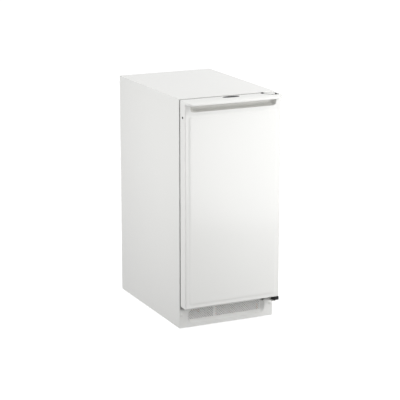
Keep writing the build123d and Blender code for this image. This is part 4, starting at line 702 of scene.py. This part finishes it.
class ICEMAKER_OT_handle(bpy.types.Operator):
    """Models the white moulding over the door: crowned top, lip and finger pocket"""

    bl_idname = "icemaker.handle"
    bl_label = "Handle"

    def execute(self, context):
        sizes = context.scene.icemaker_sizes
        low, high = CAP_LOW, CAP_HIGH
        lip_low = high.z - sizes.lip_drop
        piece = start_box("handle_moulding", (low.x, low.y, lip_low), high)
        # the lip's corners in plan
        pick(piece, "EDGE", lambda c, d: abs(d.z) > 0.9 and same(c.y, low.y))
        bpy.ops.mesh.bevel(offset=sizes.lip_corner, segments=10, affect="EDGES")
        self.underside(piece, sizes, low, high, lip_low)
        self.crown(piece, sizes, low, high)
        soften(piece, width=0.0009, segments=3, angle=40.0)
        spare = 0.01  # the cutter stands out past the moulding's top and right end
        room = hinge_block(
            "hinge_room",
            sizes.hinge_play,
            high.x + spare,
            high.z - sizes.hinge_room,
            high.z + spare,
        )
        carve(piece, room)
        finish_piece(piece, "white_moulding", "door", ["handle_cap"], 30.0)
        self.pocket(sizes)
        return {"FINISHED"}

    def underside(self, piece, sizes, low, high, lip_low):
        """Slopes the underside up from the lip's edge to the door, and steps it down to its seat."""
        edge = low.y + 0.004  # back of the lip's flat lower edge
        root = DOOR_LOW.y
        ledge = root + 0.0008  # front of the part that lies on the door
        for place in (edge, root, ledge):
            cut(piece, (0, place, 0), (0, 1, 0))
        rise = high.z - sizes.lip_root - lip_low
        under = {round(v.co.y, 6) for v in piece.data.vertices if same(v.co.z, lip_low)}
        for place in sorted(under):
            if place > ledge - 1e-5:
                lift = DOOR_HIGH.z - lip_low
            else:
                lift = rise * max(0.0, (place - edge) / (root - edge))
            if lift:
                pick(piece, "VERT", lambda c, n: same(c.z, lip_low) and same(c.y, place))
                bpy.ops.transform.translate(value=(0, 0, lift))

    def crown(self, piece, sizes, low, high):
        """Planes the top's crown and the lip's round nose off, facet by facet."""
        nose = 0.0045  # radius of the lip's front edge
        run = 0.0255  # depth that the crown takes up in front of the flat top
        drop = sizes.crown - math.sqrt(sizes.crown**2 - run**2)
        lean = math.asin(run / sizes.crown)
        crown_y = low.y + nose * (1 - math.sin(lean)) + run
        crown_facets, nose_facets = 8, 6
        for facet in range(1, crown_facets + 1):
            angle = lean * facet / crown_facets
            y = crown_y - sizes.crown * math.sin(angle)
            z = high.z - sizes.crown * (1 - math.cos(angle))
            cut(piece, Vector((0, y, z)), (0, -math.sin(angle), math.cos(angle)), True)
        centre = Vector((0, low.y + nose, high.z - drop - nose * math.cos(lean)))
        for facet in range(1, nose_facets + 1):
            angle = lean + (math.pi / 2 - lean) * facet / (nose_facets + 0.5)
            normal = Vector((0, -math.sin(angle), math.cos(angle)))
            cut(piece, centre + normal * nose, normal, True)

    def pocket(self, sizes):
        """Models the scooped pan behind the lip."""
        overlap = 0.002  # its top reaches up into the moulding
        foot_rise = 0.007  # its foot is higher at the back by this much
        back_corner = 0.006  # radius round its back
        wall = 0.0018  # gauge of the moulding
        half = DOOR_HIGH.x - sizes.pocket_side
        front = DOOR_LOW.y + sizes.panel_raise
        back = DOOR_LOW.y + sizes.pocket_deep
        top = DOOR_HIGH.z + overlap
        pan = start_box("finger_pocket", (-half, front, sizes.pocket_low), (half, back, top))
        pick(pan, "FACE", lambda c, n: n.y < -0.9)
        bpy.ops.mesh.delete(type="FACE")
        pick(pan, "EDGE", lambda c, d: abs(d.y) > 0.9 and same(c.z, sizes.pocket_low))
        bpy.ops.mesh.bevel(offset=sizes.pocket_corner, segments=6, affect="EDGES")
        # the ends lean in, and the foot runs up towards the back
        reach = half - sizes.pocket_corner - 1e-4
        for side in (-1, 1):
            pick(pan, "VERT", lambda c, n: same(c.y, back) and c.x * side > reach)
            bpy.ops.transform.translate(value=(-side * sizes.pocket_slope, 0, 0))
        foot = sizes.pocket_low + sizes.pocket_corner + 1e-4
        pick(pan, "VERT", lambda c, n: same(c.y, back) and c.z < foot)
        bpy.ops.transform.translate(value=(0, 0, foot_rise))
        pick(pan, "EDGE", lambda c, d: same(c.y, back) and abs(d.y) < 0.1)
        bpy.ops.mesh.bevel(offset=back_corner, segments=5, affect="EDGES")
        # turned inside out, so that the wall goes on behind the surface that shows
        pick(pan, "FACE", lambda c, n: True)
        bpy.ops.mesh.flip_normals()
        thicken(pan, wall, even=False)
        # its finish carries painted shade: the moulding darker and warmer under the lip
        finish_piece(pan, "pan_painted_shade", "door", (), 40.0)


class ICEMAKER_OT_hinge_trim(bpy.types.Operator):
    """Models the top hinge plate's bumper and the pin's cap, and a black block under the plate: painted
    shade for the gap round it
    """

    bl_idname = "icemaker.hinge_trim"
    bl_label = "Hinge trim"

    def execute(self, context):
        sizes = context.scene.icemaker_sizes
        rim = sizes.shade_rim
        clearance = 0.0006  # over the handle's cut-out
        sunk = 0.0002  # the shade block's top under the plate's
        corner = 0.008  # radius of the shade block's front right corner
        plate_right = PIN.x + (PIN.y - HINGE_LOW.y)  # the plate's round end over the pin
        floor = HINGE_HIGH.z - sizes.hinge_room + clearance
        shade_block = hinge_block("hinge_shade_block", rim, plate_right + rim, floor, HINGE_TOP - sunk)
        pick(shade_block, "EDGE", lambda c, d: abs(d.z) > 0.9 and c.x > PIN.x and c.y < PIN.y)
        bpy.ops.mesh.bevel(offset=corner, segments=6, affect="EDGES")
        # black block in the cut-out round the plate: painted shade for the gap
        finish_piece(shade_block, "black_moulding_and_shade", "cabinet", (), 30.0)
        bumper_x = HINGE_LOW.x + 0.0008  # it sits over the plate's left edge
        self.button("hinge_bumper", sizes, bumper_x, CASING_LOW.y - sizes.plug_back)
        self.button("hinge_pin_cap", sizes, PIN.x, PIN.y)
        return {"FINISHED"}

    def button(self, name, sizes, x, y):
        """Models a low black button with a dished top, sunk 2 mm into the hinge plate."""
        depth = sizes.plug_rise + 0.002
        middle = HINGE_TOP + sizes.plug_rise - depth / 2
        clear_selection()
        bpy.ops.mesh.primitive_cylinder_add(
            vertices=32, radius=sizes.plug_radius, depth=depth, location=(x, y, middle)
        )
        piece = settled(name)
        pick(piece, "FACE", lambda c, n: n.z > 0.9)
        for width, rise in ((0.0007, 0.0), (0.0012, -0.0004)):
            bpy.ops.mesh.inset(thickness=width, depth=rise)
        soften(piece, width=0.0002, segments=2, angle=50.0)
        finish_piece(piece, "black_moulding_and_shade", "cabinet", (), 30.0)


class ICEMAKER_OT_seal(bpy.types.Operator):
    """Models the pleated magnetic seal round the door's inner face"""

    bl_idname = "icemaker.seal"
    bl_label = "Door seal"

    def execute(self, context):
        low, high = SEAL_LOW, SEAL_HIGH
        depth = high.y - low.y
        middle = (low + high) / 2
        half_x, half_z = high.x - middle.x, high.z - middle.z
        clear_selection()
        bpy.ops.mesh.primitive_plane_add(
            size=1.0, location=(0, low.y, middle.z), rotation=(math.pi / 2, 0, 0)
        )
        piece = settled("door_seal", (2 * half_x, 2 * half_z, 1.0))
        corner = 0.007
        pick(piece, "VERT", lambda c, n: True)
        bpy.ops.mesh.bevel(offset=corner, segments=5, affect="VERTICES")
        bpy.ops.mesh.select_mode(type="FACE")
        bpy.ops.mesh.select_all(action="SELECT")
        bpy.ops.mesh.delete(type="ONLY_FACE")
        bpy.ops.mesh.select_mode(type="EDGE")
        bpy.ops.mesh.select_all(action="SELECT")
        # the seal's section: inset from its outer edge, and share of its depth from the door
        section = [
            (0.0, 0.22),
            (0.0032, 0.30),
            (0.0040, 0.42),
            (0.0012, 0.52),
            (0.0005, 0.66),
            (0.0005, 0.90),
            (0.0020, 1.0),
            (0.0140, 1.0),
            (0.0155, 0.90),
            (0.0155, 0.62),
            (0.0140, 0.50),
            (0.0110, 0.42),
            (0.0125, 0.30),
            (0.0165, 0.22),
            (0.0168, 0.0),
            (0.0, 0.0),
        ]
        inset, place = 0.0, 0.0
        for next_inset, share in section:
            bpy.ops.mesh.extrude_edges_move()
            factor_x = (half_x - next_inset) / (half_x - inset)
            factor_z = (half_z - next_inset) / (half_z - inset)
            bpy.ops.transform.resize(
                value=(factor_x, 1.0, factor_z), center_override=(0, low.y, middle.z)
            )
            bpy.ops.transform.translate(value=(0, (share - place) * depth, 0))
            inset, place = next_inset, share
        bpy.ops.mesh.select_all(action="SELECT")
        bpy.ops.mesh.remove_doubles(threshold=1e-5)
        bpy.ops.mesh.normals_make_consistent(inside=False)
        finish_piece(piece, "seal_rubber", "door", ["door_gasket"], 50.0)
        return {"FINISHED"}


class ICEMAKER_OT_badge(bpy.types.Operator):
    """Models the plain oval plate on the handle's top"""

    bl_idname = "icemaker.badge"
    bl_label = "Badge plate"

    def execute(self, context):
        low, high = BADGE_LOW, BADGE_HIGH
        middle = (low + high) / 2
        clear_selection()
        bpy.ops.mesh.primitive_cylinder_add(
            vertices=64, radius=1.0, depth=high.z - low.z, location=middle
        )
        piece = settled("badge_oval", ((high.x - low.x) / 2, (high.y - low.y) / 2, 1.0))
        # a flat rim, a step down inside it, and a face that is crowned a little
        pick(piece, "FACE", lambda c, n: n.z > 0.9)
        for width, rise in ((0.0006, 0.0), (0.0005, -0.0003), (0.002, 0.0001)):
            bpy.ops.mesh.inset(thickness=width, depth=rise)
        soften(piece, width=0.00025, segments=2, angle=50.0)
        finish_piece(piece, "badge_lacquer", "door", ["badge_plate"], 30.0)
        return {"FINISHED"}


# ---------------------------------------------------------------- stage
def white_to_camera(tree, output, lit, plain):
    """Shows one shader to camera, glossy and transmission rays, and the other to the rest."""
    path = tree.nodes.new("ShaderNodeLightPath")
    seen = path.outputs["Is Camera Ray"]
    for ray in ("Is Glossy Ray", "Is Transmission Ray"):
        either = tree.nodes.new("ShaderNodeMath")
        either.operation = "MAXIMUM"
        tree.links.new(seen, either.inputs[0])
        tree.links.new(path.outputs[ray], either.inputs[1])
        seen = either.outputs["Value"]
    mix = tree.nodes.new("ShaderNodeMixShader")
    tree.links.new(seen, mix.inputs["Fac"])
    tree.links.new(lit, mix.inputs[1])
    tree.links.new(plain, mix.inputs[2])
    tree.links.new(mix.outputs["Shader"], output.inputs["Surface"])


class ICEMAKER_OT_stage(bpy.types.Operator):
    """Sets the floor, the even light, the lamps and the camera"""

    bl_idname = "icemaker.stage"
    bl_label = "Stage"

    def execute(self, context):
        settings = context.scene.icemaker_stage
        self.floor()
        self.world(context, settings.ambient)
        for name, place, aim, side, share in LAMPS:
            self.lamp(name, place, aim, side, settings.key * share)
        self.camera(context, settings.lens)
        context.scene.view_settings.view_transform = "Standard"
        return {"FINISHED"}

    def floor(self):
        """Adds dark paper that the camera sees as white, with a faint shadow."""
        clear_selection()
        bpy.ops.mesh.primitive_plane_add(size=40.0, location=(0, 0, 0))
        plane = named("studio_floor")
        material = bpy.data.materials.new("floor_paper")
        material.use_nodes = True
        tree = material.node_tree
        tree.nodes.remove(tree.nodes["Principled BSDF"])
        output = tree.nodes["Material Output"]
        # little light comes off the paper on to the object's lower parts
        paper = tree.nodes.new("ShaderNodeBsdfDiffuse")
        paper.inputs["Color"].default_value = (0.05, 0.05, 0.05, 1.0)
        # the camera sees a glow, and on it a paler paper that takes the shadow
        shaded = tree.nodes.new("ShaderNodeBsdfDiffuse")
        shaded.inputs["Color"].default_value = (0.30, 0.30, 0.30, 1.0)
        glow = tree.nodes.new("ShaderNodeEmission")
        glow.inputs["Strength"].default_value = 0.90
        both = tree.nodes.new("ShaderNodeAddShader")
        tree.links.new(shaded.outputs["BSDF"], both.inputs[0])
        tree.links.new(glow.outputs["Emission"], both.inputs[1])
        white_to_camera(tree, output, paper.outputs["BSDF"], both.outputs["Shader"])
        plane.data.materials.append(material)

    def world(self, context, strength):
        """Lights the scene evenly, and shows white behind it."""
        world = context.scene.world or bpy.data.worlds.new("studio")
        context.scene.world = world
        world.use_nodes = True
        tree = world.node_tree
        soft = tree.nodes["Background"]
        soft.inputs["Color"].default_value = (1.0, 1.0, 1.0, 1.0)
        soft.inputs["Strength"].default_value = strength
        white = tree.nodes.new("ShaderNodeBackground")
        white.inputs["Color"].default_value = (1.0, 1.0, 1.0, 1.0)
        white.inputs["Strength"].default_value = 1.0
        white_to_camera(
            tree, tree.nodes["World Output"], soft.outputs["Background"], white.outputs["Background"]
        )

    def lamp(self, name, place, aim, side, power):
        """Adds a square lamp that points at its aim."""
        clear_selection()
        bpy.ops.object.light_add(type="AREA", location=place)
        lamp = named(name)
        lamp.data.size = side
        lamp.data.energy = power
        lamp.rotation_euler = (Vector(aim) - Vector(place)).to_track_quat("-Z", "Y").to_euler()

    def camera(self, context, lens):
        """Adds the camera."""
        level = math.cos(CAMERA_ELEVATION)
        back = Vector(
            (
                math.sin(CAMERA_AZIMUTH) * level,
                -math.cos(CAMERA_AZIMUTH) * level,
                math.sin(CAMERA_ELEVATION),
            )
        )
        clear_selection()
        bpy.ops.object.camera_add(location=CAMERA_TARGET + back * CAMERA_DISTANCE)
        camera = named("studio_camera")
        camera.rotation_euler = (-back).to_track_quat("-Z", "Y").to_euler()
        camera.data.lens = lens
        camera.data.sensor_width = 36.0
        camera.data.clip_end = 60.0
        context.scene.camera = camera


class ICEMAKER_PT_panel(bpy.types.Panel):
    """Lists the steps that model the ice maker"""

    bl_label = "Ice maker"
    bl_idname = "ICEMAKER_PT_panel"
    bl_space_type = "VIEW_3D"
    bl_region_type = "UI"
    bl_category = "Ice maker"

    def draw(self, context):
        for operator in STEPS:
            self.layout.operator(operator.bl_idname)
        for group in GROUPS:
            settings = getattr(context.scene, group)
            for key in settings.bl_rna.properties.keys():
                if key not in ("rna_type", "name"):
                    self.layout.prop(settings, key)


STEPS = (
    ICEMAKER_OT_finishes,
    ICEMAKER_OT_casing,
    ICEMAKER_OT_door,
    ICEMAKER_OT_handle,
    ICEMAKER_OT_hinge_trim,
    ICEMAKER_OT_seal,
    ICEMAKER_OT_badge,
    ICEMAKER_OT_stage,
)
GROUPS = {
    "icemaker_sizes": IceMakerSizes,
    "icemaker_colours": IceMakerColours,
    "icemaker_stage": IceMakerStage,
}


def register():
    """Registers the settings, the steps and the panel."""
    for cls in (*GROUPS.values(), *STEPS, ICEMAKER_PT_panel):
        bpy.utils.register_class(cls)
    for name, group in GROUPS.items():
        setattr(bpy.types.Scene, name, bpy.props.PointerProperty(type=group))


def unregister():
    """Takes them out again."""
    for name in GROUPS:
        delattr(bpy.types.Scene, name)
    for cls in reversed((*GROUPS.values(), *STEPS, ICEMAKER_PT_panel)):
        bpy.utils.unregister_class(cls)


def main():
    """Runs every step in order."""
    register()
    for step in STEPS:
        group, name = step.bl_idname.split(".")
        result = getattr(getattr(bpy.ops, group), name)()
        if "FINISHED" not in result:
            raise RuntimeError(f"{step.bl_idname} did not finish")


if __name__ == "__main__":
    main()
